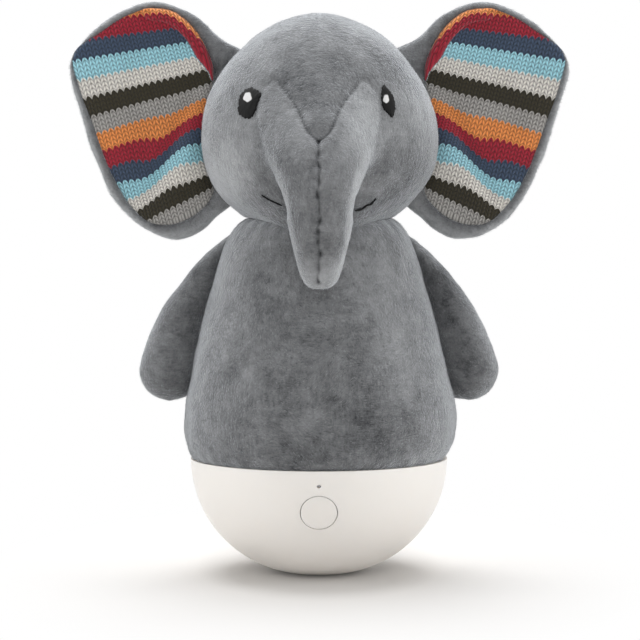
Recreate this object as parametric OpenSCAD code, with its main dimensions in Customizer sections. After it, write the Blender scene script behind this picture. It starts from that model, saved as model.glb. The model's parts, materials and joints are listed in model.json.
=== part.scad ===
// Tumbler night light: a stuffed elephant sewn to a weighted, round-bottomed lamp base.
// Frame: origin at the middle of the rest face, +Z up, the face looks along -Y. Millimetres.

/* [Base shell] */
// Outer diameter of the base at its rim
bowl_d = 95; // [88:1:108]
// Height of the rim above the rest face
bowl_h = 42.5; // [41:0.5:48]
// Diameter of the flat that the lamp rests on
foot_d = 21; // [16:1:26]
// Wall thickness of the base shell
wall = 2.4; // [2:0.1:2.8]

/* [Deck] */
// Thickness of the deck that closes the base
deck_t = 2.2; // [1.8:0.1:3]
// Height of the slot between rim and deck that holds the plush hem
hem_slot = 1.4; // [1.2:0.1:1.8]
// Reach of the deck's locating skirt below the rim
skirt_h = 1.4; // [1:0.1:1.5]
// Thickness of the pads under the deck's screws
pad_t = 2; // [1.6:0.1:2.4]
// Diameter of the screw bosses
boss_d = 7; // [6:0.1:8]

/* [Button] */
// Diameter of the button's face
button_d = 13; // [11:0.1:14]
// Gap round the button
button_gap = 0.25; // [0.15:0.05:0.4]
// Distance of the button's middle below the rim
button_below_rim = 15.3; // [14.5:0.1:17]
// Travel of the button
button_travel = 0.8; // [0.4:0.1:1.2]
// Depth of the seat behind the button's face
button_seat = 4; // [3.6:0.1:4.6]
// Thickness of the button's round face
cap_face = 1.8; // [1.5:0.1:2]
// Height above the button's middle of the flat that stops it turning
button_key = 5; // [4.6:0.1:5.2]
// Thickness of the flange that keeps the button in
flange_t = 1.2; // [1:0.1:1.5]
// Side of the square tactile switch
switch_w = 6; // [5:0.1:7]
// Height of the tactile switch
switch_h = 3.5; // [3.3:0.1:4]
// Diameter of the switch's plunger
plunger_d = 3.4; // [3:0.1:3.6]
// Thickness of the button's circuit board
button_board_t = 1.2; // [1:0.1:1.6]

/* [Microphone] */
// Diameter of the sound hole
mic_hole_d = 1.4; // [1:0.1:2]
// Distance of the sound hole below the rim
mic_below_rim = 5.4; // [5.3:0.1:6]
// Diameter of the microphone capsule
mic_d = 3.4; // [3:0.1:3.6]
// Thickness of the microphone capsule
mic_t = 1.6; // [1.2:0.1:1.8]

/* [Electronics] */
// Diameter of the main circuit board
board_d = 66; // [60:1:68]
// Thickness of the main circuit board
board_t = 1.6; // [1.2:0.1:2]
// Length of the posts that carry the main board under the deck
standoff_h = 9.3; // [9:0.1:10]
// Number of lamp LEDs
led_count = 8; // [6:1:10]
// Width of the charging socket
usb_w = 8.94; // [8.9:0.01:9.1]
// Height of the charging socket
usb_h = 3.26; // [3.2:0.01:3.4]
// Length of the charging socket
usb_l = 7.4; // [7:0.1:8]

/* [Ballast and battery] */
// Height of the ballast's flat top above the rest face
ballast_top = 13; // [11:0.5:14]
// Length of the battery
battery_l = 50; // [42:1:52]
// Width of the battery
battery_w = 34; // [28:1:35]
// Thickness of the battery
battery_t = 8; // [6:0.5:9]
// Thickness of the foam tape under the battery
tape_t = 1; // [0.6:0.1:1.4]

/* [Plush body] */
// Thickness of the plush cloth
cloth_t = 1.6; // [1.2:0.1:2]
// How far the body's widest place stands out over the base's rim
belly_over = 2.7; // [2:0.1:5]
// Height of the body's widest place
belly_z = 57; // [54:1:62]
// Diameter of the body at the shoulders
shoulder_d = 72.8; // [70:0.2:76]
// Height of the shoulders
shoulder_z = 118; // [114:1:121]
// Diameter of the neck seam
neck_d = 54; // [50:1:58]
// Height of the neck seam
neck_z = 131; // [129:1:136]

/* [Head] */
// Width of the head across the cheeks
head_w = 87.2; // [82:0.2:94]
// Depth of the head from face to back
head_depth = 80; // [76:1:86]
// Height of the crown above the cheeks
crown_h = 50.5; // [46:0.5:56]
// Half-height of the head's lower part
jaw_h = 33; // [30:0.5:36]
// Forward set of the head
head_forward = 2; // [0:0.5:4]
// Width of an eye
eye_w = 9; // [7:0.5:10]
// Height of an eye
eye_h = 11.5; // [9:0.5:13]
// Distance of an eye from the middle
eye_x = 25; // [23.5:0.5:27]
// Height of the eyes above the cheeks
eye_up = 16.7; // [15:0.5:18]

/* [Trunk] */
// Width of the trunk where it leaves the face
snout_w = 42; // [36:1:44]
// Height of the trunk where it leaves the face
snout_h = 35; // [32:1:37]
// Height of the trunk's root above the cheeks
snout_up = 3; // [2:0.5:5]
// Reach of the trunk in front of the face
trunk_reach = 22; // [19:1:26]
// Drop of the trunk's tip below its root
trunk_drop = 53; // [48:1:56]
// Gap between the trunk's tip and the chest
trunk_gap = 6; // [4:0.5:10]

/* [Ears] */
// Width of an ear from its seam to its outer edge
ear_w = 52.6; // [46:0.2:58]
// Height of an ear
ear_h = 86.7; // [80:0.1:92]
// Height of an ear's seam above the cheeks
ear_up = 6; // [4:0.5:8]
// Distance of the ears behind the middle of the head
ear_back_set = 12; // [10:0.5:14]
// Thickness of an ear's plush back
ear_back_t = 4.6; // [3:0.2:6]
// Thickness of an ear's knitted lining
ear_lining_t = 2.8; // [2:0.2:3.6]
// How far an ear's outer edge cups forward
ear_cup = 6; // [0:0.5:9]

/* [Arms] */
// Length of an arm
arm_l = 55; // [48:1:60]
// Thickness of an arm from side to side
arm_t = 18.9; // [15:0.1:22]
// Thickness of an arm from front to back
arm_w = 22; // [17:0.5:25]
// Distance of an arm's seam below the neck
arm_below_neck = 12.5; // [11:0.5:15]

/* [Hidden] */
$fn = 96;

// Clearances
fit = 0.15;          // rigid pieces that slide together
seat = 0.05;         // rigid pieces that rest on each other
soft_gap = 0.3;      // cloth pieces beside their neighbours
ballast_gap = 0.25;  // ballast beside the shell
swing_gap = 0.5;     // ears and arms beside what they swing on

// Fasteners: thread, head diameter, head height, length
large_screw = [2.5, 4.6, 1.8, 9];
small_screw = [1.6, 3.6, 1.3, 5];

// Base shell: one arc from the rest flat to a rim with an upright wall
bowl_r = bowl_d / 2;
arc_span = bowl_r - foot_d / 2;
arc_r = (arc_span * arc_span + bowl_h * bowl_h) / (2 * arc_span);
arc_x = bowl_r - arc_r;
function shell_r(z, inset = 0) = arc_x + sqrt(pow(arc_r - inset, 2) - pow(bowl_h - z, 2));

// Deck and what hangs from it
hem_z = bowl_h + seat;
deck_z = bowl_h + hem_slot;
deck_top = deck_z + deck_t;
deck_r = bowl_r - 1.2;
skirt_r = bowl_r - wall - fit;
skirt_t = 1.8;
boss_r = bowl_r - 10.5;
boss_angles = [45, 135, 225, 315];
board_top = deck_z - standoff_h;
board_z = board_top - board_t;
standoff_d = 5;
standoff_r = board_d / 2 - 6;
standoff_angles = [30, 150, 210, 330];

// Button stack, as depths behind the shell's surface along the button's axis
button_drop = asin(button_below_rim / arc_r);
button_y = arc_x + arc_r * cos(button_drop);
button_z = bowl_h - button_below_rim;
collar_d = button_d + 5;
flange_d = button_d + 2.4;
cap_back = button_seat + seat + flange_t;
plunger_top = cap_back + seat;
switch_top = plunger_top + button_travel + 0.4;
plunger_held = 1.2;
switch_back = switch_top + switch_h;
button_board_back = switch_back + button_board_t;
button_board_h = 11;
button_post_d = 5;
button_post_x = flange_d / 2 + button_post_d / 2 + 0.8;
button_board_w = 2 * button_post_x + button_post_d;
stack_back = button_board_back + small_screw[2];

// Microphone, as depths behind the shell's surface
mic_drop = asin(mic_below_rim / arc_r);
mic_pocket = wall + 0.2;
boot_h = mic_t + 0.8;
boot_d = mic_d + 1.6;
mic_collar_d = boot_d + 2 * fit + 1.4;

// Main board outline: clear of the button's board in front, with a tongue for the socket behind
board_front = button_y - stack_back * cos(button_drop) - 1.5;
usb_z = board_z - usb_h / 2;
usb_mouth = shell_r(usb_z) - 0.8;
tongue_y = shell_r(board_z, wall) - 1.2;
tongue_w = usb_w + 3;

// Ballast, battery and the plug of its lead
post_d = 6;
post_y = battery_w / 2 + large_screw[1] / 2 + 3.6;
tape_z = ballast_top;
battery_z = tape_z + tape_t;
plug_size = [4.4, 6, 4];
plug_x = battery_l / 2 - 5;
wire_d = 1.2;

// Body profile from hem to neck, as [radius, height]
body_knots = [
    [bowl_r + 0.3, hem_z], [bowl_r + belly_over, belly_z], [shoulder_d / 2, shoulder_z], [neck_d / 2, neck_z]
];
body_flat = 0.06;  // how much shallower than wide the body is at the neck
outer_sides = 36;  // sides of the body and head outside
inner_sides = 24;  // and inside, where nothing shows
body_profile = curve(body_knots, 5);
body_radii = [for (p = body_profile) [p[1], p[0]]];
function body_r(z) = lookup(z, body_radii);
function body_depth(z) = 1 - body_flat * (z - hem_z) / (neck_z - hem_z);
filling_wall = 1;  // a hollow wad: at cloth density it weighs what loose fibre weighs

// Head: a half-ellipse above the cheeks and a flatter one below, down to the neck seam
head_y = -head_forward;
head_z = neck_z + soft_gap;
cheek_z = head_z + jaw_h * sqrt(1 - pow(neck_d / head_w, 2));
neck_angle = -acos(neck_d / head_w);
function half_height(z) = z < cheek_z ? jaw_h : crown_h;
function head_share(z) = sqrt(1 - pow((z - cheek_z) / half_height(z), 2));
function face_y(x, z) = head_y - head_depth / 2 * sqrt(pow(head_share(z), 2) - pow(2 * x / head_w, 2));
function head_x(y, z) = head_w / 2 * sqrt(pow(head_share(z), 2) - pow(2 * (y - head_y) / head_depth, 2));
function on_face(x, z, lift) = [x, face_y(x, z) - lift, z];
function face_out(x, z) = unit([
    x / pow(head_w / 2, 2), (face_y(x, z) - head_y) / pow(head_depth / 2, 2),
    (z - cheek_z) / pow(half_height(z), 2)
]);
function face_ring(x, z, w, h, lift, sides) = [
    for (i = [0 : sides - 1])
        on_face(x + w / 2 * cos(360 * i / sides), z + h / 2 * sin(360 * i / sides), lift)
];

// Trunk: its middle line in the YZ plane, and [share of length, half width, half depth]
snout_z = cheek_z + snout_up;
tip_z = snout_z - trunk_drop;
tip_r = 3.6;
tip_y = -(body_r(tip_z) + trunk_gap + tip_r);
root_y = face_y(0, snout_z);
trunk_line = [
    [0, root_y, snout_z], [0, root_y - 0.8 * trunk_reach, snout_z - 5],
    [0, root_y - trunk_reach, tip_z + 0.45 * trunk_drop], [0, tip_y, tip_z]
];
trunk_girth = [
    [0.18, 0.47, 0.44], [0.32, 0.4, 0.38], [0.48, 0.3, 0.33], [0.66, 0.265, 0.29],
    [0.82, 0.215, 0.23], [0.93, 0.15, 0.16], [0.985, 0.085, 0.09]
];

// Ears: free edge as shares of width and height, counted from the middle of the seam
ear_y = head_y + ear_back_set;
ear_z = cheek_z + ear_up;
ear_x = head_x(ear_y, ear_z) + swing_gap;
ear_lean = 6;  // tilt of the seam's axis, top towards the head
ear_edge = [
    [-0.03, 0.401], [0.169, 0.491], [0.458, 0.527], [0.715, 0.457], [0.908, 0.341], [1, 0.211], [0.871, 0],
    [0.656, -0.263], [0.477, -0.389], [0.312, -0.4475], [0.175, -0.473], [0.017, -0.429]
];
ear_seam_share = [-0.22, -0.15, -0.08, 0.02, 0.12, 0.22];  // places along the seam, as shares of the ear's height
seam_ease = 30;      // how much the seam's gap opens towards its ends, with the square of the share
ear_rim = 0.9;       // the lining's share of the ear's outline
ear_bead = 1.6;      // how far the plush rim stands in front of the middle layer
ear_sheet = 0.3;     // gap between back and lining

// Arms: share of length and of thickness, from the seam to the hand
arm_top_z = neck_z - arm_below_neck;
arm_girth = [
    [0, 0.1], [0.08, 0.36], [0.3, 0.68], [0.52, 0.87], [0.74, 1], [0.88, 0.87], [0.96, 0.52], [1, 0.06]
];

// Curves

// A point of the smooth curve through b and c, with a and d beyond them
function between(a, b, c, d, u) =
    0.5 * (2 * b + (c - a) * u + (2 * a - 5 * b + 4 * c - d) * u * u + (3 * b - a - 3 * c + d) * u * u * u);

// An open smooth curve through the points p
function curve(p, steps) = [
    for (i = [0 : len(p) - 2], s = [0 : steps - 1])
        between(p[max(i - 1, 0)], p[i], p[i + 1], p[min(i + 2, len(p) - 1)], s / steps),
    p[len(p) - 1]
];

// A closed smooth curve through the points p
function ring_through(p, steps) = let (n = len(p)) [
    for (i = [0 : n - 1], s = [0 : steps - 1])
        between(p[(i + n - 1) % n], p[i], p[(i + 1) % n], p[(i + 2) % n], s / steps)
];

// A point of the cubic curve that leaves p[0] for p[1] and reaches p[3] from p[2], and its direction
function bend(p, t) =
    pow(1 - t, 3) * p[0] + 3 * t * pow(1 - t, 2) * p[1] + 3 * t * t * (1 - t) * p[2] + pow(t, 3) * p[3];
function bend_way(p, t) = unit(bend(p, min(t + 0.01, 1)) - bend(p, t - 0.01));

function unit(v) = v / norm(v);
function mean(p) = [for (k = [0 : 2]) sum_of(p, k) / len(p)];
function sum_of(p, k, i = 0) = i == len(p) ? 0 : p[i][k] + sum_of(p, k, i + 1);

// An upright oval ring of points
function oval(c, rx, ry, sides) = [
    for (i = [0 : sides - 1]) c + [rx * cos(360 * i / sides), ry * sin(360 * i / sides), 0]
];

// A ring of points square to a direction that lies in the YZ plane
function hoop(c, way, rx, rd, sides) = let (across = cross(way, [1, 0, 0])) [
    for (i = [0 : sides - 1]) c + [rx * cos(360 * i / sides), 0, 0] + across * rd * sin(360 * i / sides)
];

// Solids

// A closed solid through rings of equal length, each anticlockwise seen from the next
module loft(rings) {
    n = len(rings[0]);
    m = len(rings);
    points = [for (r = rings) each r, mean(rings[0]), mean(rings[m - 1])];
    sides = [
        for (j = [0 : m - 2], i = [0 : n - 1])
            let (a = j * n + i, b = j * n + (i + 1) % n)
                each [[a, a + n, b + n], [a, b + n, b]]
    ];
    first = [for (i = [0 : n - 1]) [i, (i + 1) % n, m * n]];
    last = [for (i = [0 : n - 1]) [(m - 1) * n + (i + 1) % n, (m - 1) * n + i, m * n + 1]];
    polyhedron(points, concat(sides, first, last));
}

// A round wire along points, with its first and last stretches straight
module wire(route, d) {
    line = curve(route, 3);
    last = len(line) - 1;
    end = len(route) - 1;
    loft([
        for (i = [0 : last])
            let (
                way = unit(
                    i == 0 ? route[1] - route[0] :
                    i == last ? route[end] - route[end - 1] : line[i + 1] - line[i - 1]
                ),
                side = unit(cross(way, abs(way[1]) > 0.9 ? [1, 0, 0] : [0, 1, 0])),
                up = cross(way, side)
            )
                [for (k = [0 : 7]) line[i] + (side * cos(45 * k) + up * sin(45 * k)) * d / 2]
    ]);
}

// Children at a list of angles round the axis, at one radius
module around(angles, radius) {
    for (a = angles) rotate(a) translate([radius, 0, 0]) children();
}

// Children on the front of the shell: +Z outwards along the surface's normal, +Y up the wall
module on_shell(below_rim, drop) {
    translate([0, -(arc_x + arc_r * cos(drop)), bowl_h - below_rim]) rotate([90 + drop, 0, 0]) children();
}

// A cylinder from one depth to another behind the shell's surface, in on_shell's frame
module bar(d, from, to) {
    translate([0, 0, -to]) cylinder(d = d, h = to - from);
}

// The same with its top cut to a flat at the height of key
module keyed_bar(d, from, to, key) intersection() {
    bar(d, from, to);
    translate([-d, -d, -to - 1]) cube([2 * d, d + key, to - from + 2]);
}

// A cross-head screw, head upwards, resting on Z = 0
module screw(size) {
    difference() {
        union() {
            cylinder(d = size[1], h = size[2]);
            translate([0, 0, -size[3]]) cylinder(d = size[0], h = size[3] + 0.1);
        }
        for (a = [0, 90])
            rotate(a) translate([-size[1] * 0.3, -size[1] * 0.07, size[2] * 0.45])
                cube([size[1] * 0.6, size[1] * 0.14, size[2]]);
    }
}

module rounded_plate(l, w, r, t) {
    linear_extrude(t) {
        square([l - 2 * r, w], center = true);
        square([l, w - 2 * r], center = true);
        for (x = [-1, 1], y = [-1, 1]) translate([x * (l / 2 - r), y * (w / 2 - r)]) circle(r);
    }
}

// The space inside the shell's outer surface, set in by an even wall
module bowl_solid(inset = 0, top = bowl_h) {
    rotate_extrude() intersection() {
        translate([0, inset]) square([bowl_r + 1, top - inset]);
        union() {
            translate([arc_x, bowl_h]) circle(arc_r - inset);
            if (arc_x > 0) square([arc_x, top]);
        }
    }
}

// Base pieces

module base_shell() color("white") difference() {
    union() {
        difference() {
            bowl_solid();
            bowl_solid(wall, bowl_h + 1);
        }
        intersection() {
            bowl_solid(wall / 2, deck_z);
            union() {
                around(boss_angles, boss_r)
                    translate([0, 0, wall]) cylinder(d = boss_d, h = deck_z - pad_t - wall);
                for (s = [-1, 1])
                    translate([0, s * post_y, wall]) cylinder(d = post_d, h = ballast_top - wall - seat);
                on_shell(button_below_rim, button_drop)
                    for (s = [-1, 1]) translate([s * button_post_x, 0, 0]) bar(button_post_d, 0, switch_back);
            }
        }
        intersection() {
            bowl_solid();
            union() {
                on_shell(button_below_rim, button_drop) bar(collar_d, -2, button_seat);
                on_shell(mic_below_rim, mic_drop) bar(mic_collar_d, -2, mic_pocket + boot_h);
            }
        }
    }
    around(boss_angles, boss_r)
        translate([0, 0, deck_z - large_screw[3]]) cylinder(d = large_screw[0] + fit, h = large_screw[3]);
    for (s = [-1, 1]) translate([0, s * post_y, ballast_top - large_screw[3] + 3])
        cylinder(d = large_screw[0] + fit, h = large_screw[3]);
    on_shell(button_below_rim, button_drop) {
        bar(button_d + 2 * button_gap, -2, cap_face + button_travel + fit);
        keyed_bar(button_d + 2 * button_gap, 0, button_seat + 1, button_key + button_gap);
        for (s = [-1, 1]) translate([s * button_post_x, 0, 0])
            bar(small_screw[0] + fit, switch_back - small_screw[3] + button_board_t, switch_back + 1);
    }
    on_shell(mic_below_rim, mic_drop) {
        bar(mic_hole_d, -2, mic_pocket + 1);
        bar(boot_d + 2 * fit, mic_pocket, mic_pocket + boot_h + 1);
    }
    translate([0, usb_mouth, usb_z]) rotate([90, 0, 0]) translate([0, 0, -4])
        rounded_plate(usb_w + 4 * fit, usb_h + 4 * fit, usb_h / 2, 8);
}

module deck() color("whitesmoke") difference() {
    union() {
        translate([0, 0, deck_z]) cylinder(r = deck_r, h = deck_t);
        difference() {
            translate([0, 0, bowl_h - skirt_h]) cylinder(r = skirt_r, h = skirt_h + hem_slot + 0.1);
            translate([0, 0, bowl_h - skirt_h - 1])
                cylinder(r = skirt_r - skirt_t, h = skirt_h + hem_slot + 1.05);
        }
        around(boss_angles, boss_r)
            translate([0, 0, deck_z - pad_t]) cylinder(d = boss_d, h = pad_t + 0.1);
        around(standoff_angles, standoff_r)
            translate([0, 0, board_top]) cylinder(d = standoff_d, h = standoff_h + 0.1);
    }
    around(boss_angles, boss_r) {
        translate([0, 0, deck_z - pad_t - 1]) cylinder(d = large_screw[0] + 2 * fit, h = deck_t + pad_t + 2);
        translate([0, 0, deck_top - large_screw[2] - 0.2])
            cylinder(d = large_screw[1] + 4 * fit, h = large_screw[2] + 1);
    }
    around(standoff_angles, standoff_r)
        translate([0, 0, board_top - 1]) cylinder(d = small_screw[0] + fit, h = small_screw[3] + 1);
}

module deck_screws() color("silver")
    around(boss_angles, boss_r) translate([0, 0, deck_top - large_screw[2] - 0.2]) screw(large_screw);

module ballast() color("dimgray") difference() {
    bowl_solid(wall + ballast_gap, ballast_top);
    for (s = [-1, 1]) translate([0, s * post_y, 0]) cylinder(d = post_d + 4 * fit, h = ballast_top + 1);
}

module ballast_screws() color("silver")
    for (s = [-1, 1]) translate([0, s * post_y, ballast_top]) {
        difference() {
            cylinder(d = post_d + 3, h = 0.8);
            translate([0, 0, -1]) cylinder(d = large_screw[0] - 0.2, h = 3);
        }
        translate([0, 0, 0.8]) screw([large_screw[0], large_screw[1], large_screw[2], 6]);
    }

module battery_tape() color("lightgray") translate([0, 0, tape_z])
    rounded_plate(battery_l - 12, battery_w - 10, 2, tape_t);

module battery() color("lightsteelblue") translate([0, 0, battery_z])
    rounded_plate(battery_l, battery_w, 3, battery_t);

module battery_connector() color("ivory") translate([plug_x, 0, board_z - plug_size[2] / 2])
    cube(plug_size, center = true);

// Two wires from the battery's end, round to the plug under the main board
module battery_lead() color("firebrick") for (y = [-1.2, 1.2]) {
    low = battery_z + battery_t / 2;
    high = board_z - plug_size[2] / 2;
    side = battery_l / 2 + 3.4;
    wire([
        [battery_l / 2 + seat, y, low], [battery_l / 2 + 1.5, y, low], [side, y, low + 3.5], [side, y, high - 2],
        [plug_x + plug_size[0] / 2 + 1.5, y, high], [plug_x + plug_size[0] / 2 + seat, y, high]
    ], wire_d);
}

module main_board() color("seagreen") translate([0, 0, board_z]) difference() {
    union() {
        cylinder(d = board_d, h = board_t);
        translate([-tongue_w / 2, 0, 0]) cube([tongue_w, tongue_y, board_t]);
    }
    translate([-board_d, -board_front - board_d, -1]) cube([2 * board_d, board_d, board_t + 2]);
    around(standoff_angles, standoff_r)
        translate([0, 0, -1]) cylinder(d = small_screw[0] + 3 * fit, h = board_t + 2);
}

module main_board_screws() color("silver")
    around(standoff_angles, standoff_r) translate([0, 0, board_z]) mirror([0, 0, 1]) screw(small_screw);

module controller_chip() color("black") translate([0, 8, board_top]) {
    translate([-5, -5, 0.3]) cube([10, 10, 1.4]);
    for (a = [0 : 90 : 270], k = [-3.5 : 1 : 3.5])
        rotate(a) translate([k - 0.2, 4.9, 0]) cube([0.4, 1.6, 0.4]);
}

// Lamp LEDs under the main board, between its screws, that light the shell from inside
module lamp_leds() color("lightyellow")
    around([for (i = [0 : led_count - 1]) 360 * (i + 0.5) / led_count], board_d / 2 - 12)
        translate([-1.4, -1.75, board_z - 1.9]) cube([2.8, 3.5, 1.9]);

// Charging socket: a stadium sleeve with its contact tongue
module charging_socket() color("silver") translate([0, usb_mouth, usb_z]) rotate([90, 0, 0]) {
    difference() {
        rounded_plate(usb_w, usb_h, usb_h / 2 - 0.01, usb_l);
        translate([0, 0, -1]) rounded_plate(usb_w - 0.6, usb_h - 0.6, usb_h / 2 - 0.31, usb_l);
    }
    translate([-3.35, -0.35, 0.6]) cube([6.7, 0.7, usb_l - 1]);
}

// The button: a round face that carries on the shell's curve, then a flatted stem and flange,
// so that the face can't turn out of line and the sound hole's boot has room above it
module button_cap() color("white") {
    intersection() {
        bowl_solid();
        on_shell(button_below_rim, button_drop) bar(button_d, -2, cap_face);
    }
    on_shell(button_below_rim, button_drop) {
        keyed_bar(button_d, cap_face - 0.4, button_seat + 0.5, button_key);
        keyed_bar(flange_d, button_seat + seat, cap_back, button_key);
    }
}

module switch_plunger() color("black") on_shell(button_below_rim, button_drop)
    bar(plunger_d, plunger_top, switch_top + plunger_held);

module tactile_switch() color("dimgray") on_shell(button_below_rim, button_drop) difference() {
    translate([-switch_w / 2, -switch_w / 2, -switch_back]) cube([switch_w, switch_w, switch_h]);
    bar(plunger_d + 2 * fit, switch_top - 1, switch_top + plunger_held + button_travel + 0.3);
}

module button_board() color("seagreen") on_shell(button_below_rim, button_drop) difference() {
    translate([-button_board_w / 2, -button_board_h / 2, -button_board_back])
        cube([button_board_w, button_board_h, button_board_t]);
    for (s = [-1, 1]) translate([s * button_post_x, 0, 0])
        bar(small_screw[0] + 3 * fit, switch_back - 1, button_board_back + 1);
}

module button_board_screws() color("silver") on_shell(button_below_rim, button_drop)
    for (s = [-1, 1])
        translate([s * button_post_x, 0, -button_board_back]) mirror([0, 0, 1]) screw(small_screw);

// Two wires from the button's board to the front edge of the main board
module switch_lead() color("dimgray") for (x = [-1, 1]) {
    depth = button_board_back + seat;
    start_y = -button_y + depth * cos(button_drop);
    start_z = button_z + depth * sin(button_drop);
    reach = [0, cos(button_drop), sin(button_drop)] * 1.2;
    start = [x, start_y, start_z];
    goal = [x, -board_front + 2, board_z - seat];
    wire([start, start + reach, [x, goal[1], board_z - 1.4], goal], 0.8);
}

module microphone() color("silver") on_shell(mic_below_rim, mic_drop)
    bar(mic_d, mic_pocket + seat, mic_pocket + seat + mic_t);

module microphone_boot() color("black") on_shell(mic_below_rim, mic_drop) difference() {
    bar(boot_d, mic_pocket + seat, mic_pocket + boot_h);
    bar(mic_d + 2 * seat, mic_pocket - 1, mic_pocket + boot_h + 1);
}

// Two wires from the capsule, over the button's board, to the top of the main board
module microphone_lead() color("dimgray") for (x = [-0.9, 0.9]) {
    depth = mic_pocket + 2 * seat + mic_t;
    start_y = -(arc_x + arc_r * cos(mic_drop)) + depth * cos(mic_drop);
    start = [x, start_y, bowl_h - mic_below_rim + depth * sin(mic_drop)];
    reach = [0, cos(mic_drop), sin(mic_drop)] * 1.6;
    goal = [x, -board_front + 2.4, board_top + seat];
    wire([start, start + reach, [x, goal[1] - 1.5, goal[2] + 2.2], goal + [0, 0, 1], goal], 0.7);
}

// Plush pieces

module liner_disc() color("gray") translate([0, 0, deck_top + seat]) cylinder(r = deck_r - 0.6, h = 0.7);

// The body's form, set in by a cloth or filling wall
module body_form(inset, low, high, sides) {
    heights = [low, for (p = body_profile) if (p[1] > low + 1 && p[1] < high - 1) p[1], high];
    loft([for (z = heights) oval([0, 0, z], body_r(z) - inset, body_r(z) * body_depth(z) - inset, sides)]);
}

module body_cover() color("slategray") difference() {
    body_form(0, hem_z, neck_z, outer_sides);
    body_form(cloth_t, deck_z - 0.1, neck_z - cloth_t, inner_sides);
    translate([0, 0, hem_z - 1]) cylinder(r = skirt_r + soft_gap, h = hem_slot + 1.5);
}

module body_filling() color("white") difference() {
    inset = cloth_t + soft_gap;
    low = deck_top + 1;
    body_form(inset + 0.1, low, neck_z - inset, inner_sides);
    body_form(inset + 0.1 + filling_wall, low + filling_wall, neck_z - inset - filling_wall, inner_sides);
}

module head_form(inset, low, sides) {
    steps = round(sides * 0.42);
    high = cheek_z + crown_h - inset;
    start = asin((low - cheek_z) / (jaw_h - inset));
    loft([
        for (i = [0 : steps])
            let (
                a = start + (88 - start) * i / steps,
                z = cheek_z + (a < 0 ? jaw_h - inset : high - cheek_z) * sin(a)
            )
                oval([0, head_y, z], (head_w / 2 - inset) * cos(a), (head_depth / 2 - inset) * cos(a), sides)
    ]);
}

module head_cover() color("slategray") difference() {
    head_form(0, head_z, outer_sides);
    head_form(cloth_t, head_z + cloth_t, inner_sides);
}

module head_filling() color("white") difference() {
    inset = cloth_t + soft_gap;
    head_form(inset, head_z + inset, inner_sides);
    head_form(inset + filling_wall, head_z + inset + filling_wall, inner_sides);
}

// The trunk's root follows the face, and the rest hangs from it along a bend
module trunk() color("slategray") {
    sides = 20;
    root = [
        for (share = [0.25, 0.5, 0.75, 1])
            face_ring(0, snout_z, share * snout_w, share * snout_h, soft_gap, sides)
    ];
    tube = [
        for (g = curve(trunk_girth, 2))
            hoop(bend(trunk_line, g[0]), bend_way(trunk_line, g[0]), g[1] * snout_w, g[2] * snout_h, sides)
    ];
    loft(concat(root, tube));
}

// An embroidered patch that lies on the face
module face_patch(x, z, w, h, lift) {
    sides = 20;
    layers = [[0.5, seat], [1, seat], [0.97, lift * 0.6], [0.8, lift], [0.4, lift]];
    loft([for (l = layers) face_ring(x, z, l[0] * w, l[0] * h, l[1], sides)]);
}

module eye_left() color("black") face_patch(-eye_x, cheek_z + eye_up, eye_w, eye_h, 0.8);

module eye_right() color("black") face_patch(eye_x, cheek_z + eye_up, eye_w, eye_h, 0.8);

// Two short embroidered lines that show on either side of the trunk
module mouth_stitches() color("black") for (s = [-1, 1]) {
    d = 1;
    inner = [s * head_w * 0.13, cheek_z - jaw_h * 0.6];
    outer = [s * head_w * 0.25, cheek_z - jaw_h * 0.5];
    wire([
        for (t = [0 : 0.25 : 1])
            let (x = inner[0] + (outer[0] - inner[0]) * t, z = inner[1] + (outer[1] - inner[1]) * t)
                let (low = z - 0.8 * sin(180 * t)) on_face(x, low, 0) + face_out(x, low) * (d / 2 + seat)
    ], d);
}

// The ear's outline in its own frame: X out from the seam, Z along it
function ear_outline() = let (
    free = [for (e = ear_edge) [e[0] * ear_w, e[1] * ear_h]],
    seam = [
        for (s = ear_seam_share)
            let (
                z = s * ear_h,
                x = head_x(ear_y - ear_bead / 2, ear_z + z) + swing_gap + seam_ease * s * s - ear_x
            )
                [x * cos(ear_lean) + z * sin(ear_lean), z * cos(ear_lean) - x * sin(ear_lean)]
    ]
) ring_through(concat(free, seam), 3);

// Rings of the ear's outline drawn in towards its middle
// Each layer is a share of the outline and a distance behind the seam
module ear_form(layers) {
    edge = ear_outline();
    middle = [ear_w * 0.48, ear_h * 0.04];
    loft([
        for (l = layers)
            [for (p = edge)
                let (q = middle + (p - middle) * l[0], out = max(q[0], 0) / ear_w)
                    [q[0], l[1] - ear_cup * out * out, q[1]]]
    ]);
}

// Places an ear: in the seam's frame, on the side of the head that s names
module at_ear(s) {
    mirror([s < 0 ? 1 : 0, 0, 0]) translate([ear_x, ear_y, ear_z]) rotate([0, -ear_lean, 0]) children();
}

module ear_back() color("slategray") ear_form([
    [0.3, ear_sheet / 2], [ear_rim - 0.02, ear_sheet / 2], [ear_rim + 0.02, -ear_bead], [0.97, -ear_bead],
    [1, 0], [0.95, ear_back_t * 0.55], [0.8, ear_back_t * 0.85], [0.5, ear_back_t], [0.2, ear_back_t]
]);

module ear_lining() color("steelblue") ear_form([
    [0.2, -ear_lining_t], [0.5, -ear_lining_t], [0.75, -ear_lining_t * 0.9],
    [ear_rim - 0.05, -ear_lining_t * 0.6], [ear_rim - 0.04, -ear_sheet / 2], [0.3, -ear_sheet / 2]
]);

module ear_left_back() at_ear(-1) ear_back();
module ear_left_lining() at_ear(-1) ear_lining();
module ear_right_back() at_ear(1) ear_back();
module ear_right_lining() at_ear(1) ear_lining();

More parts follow.
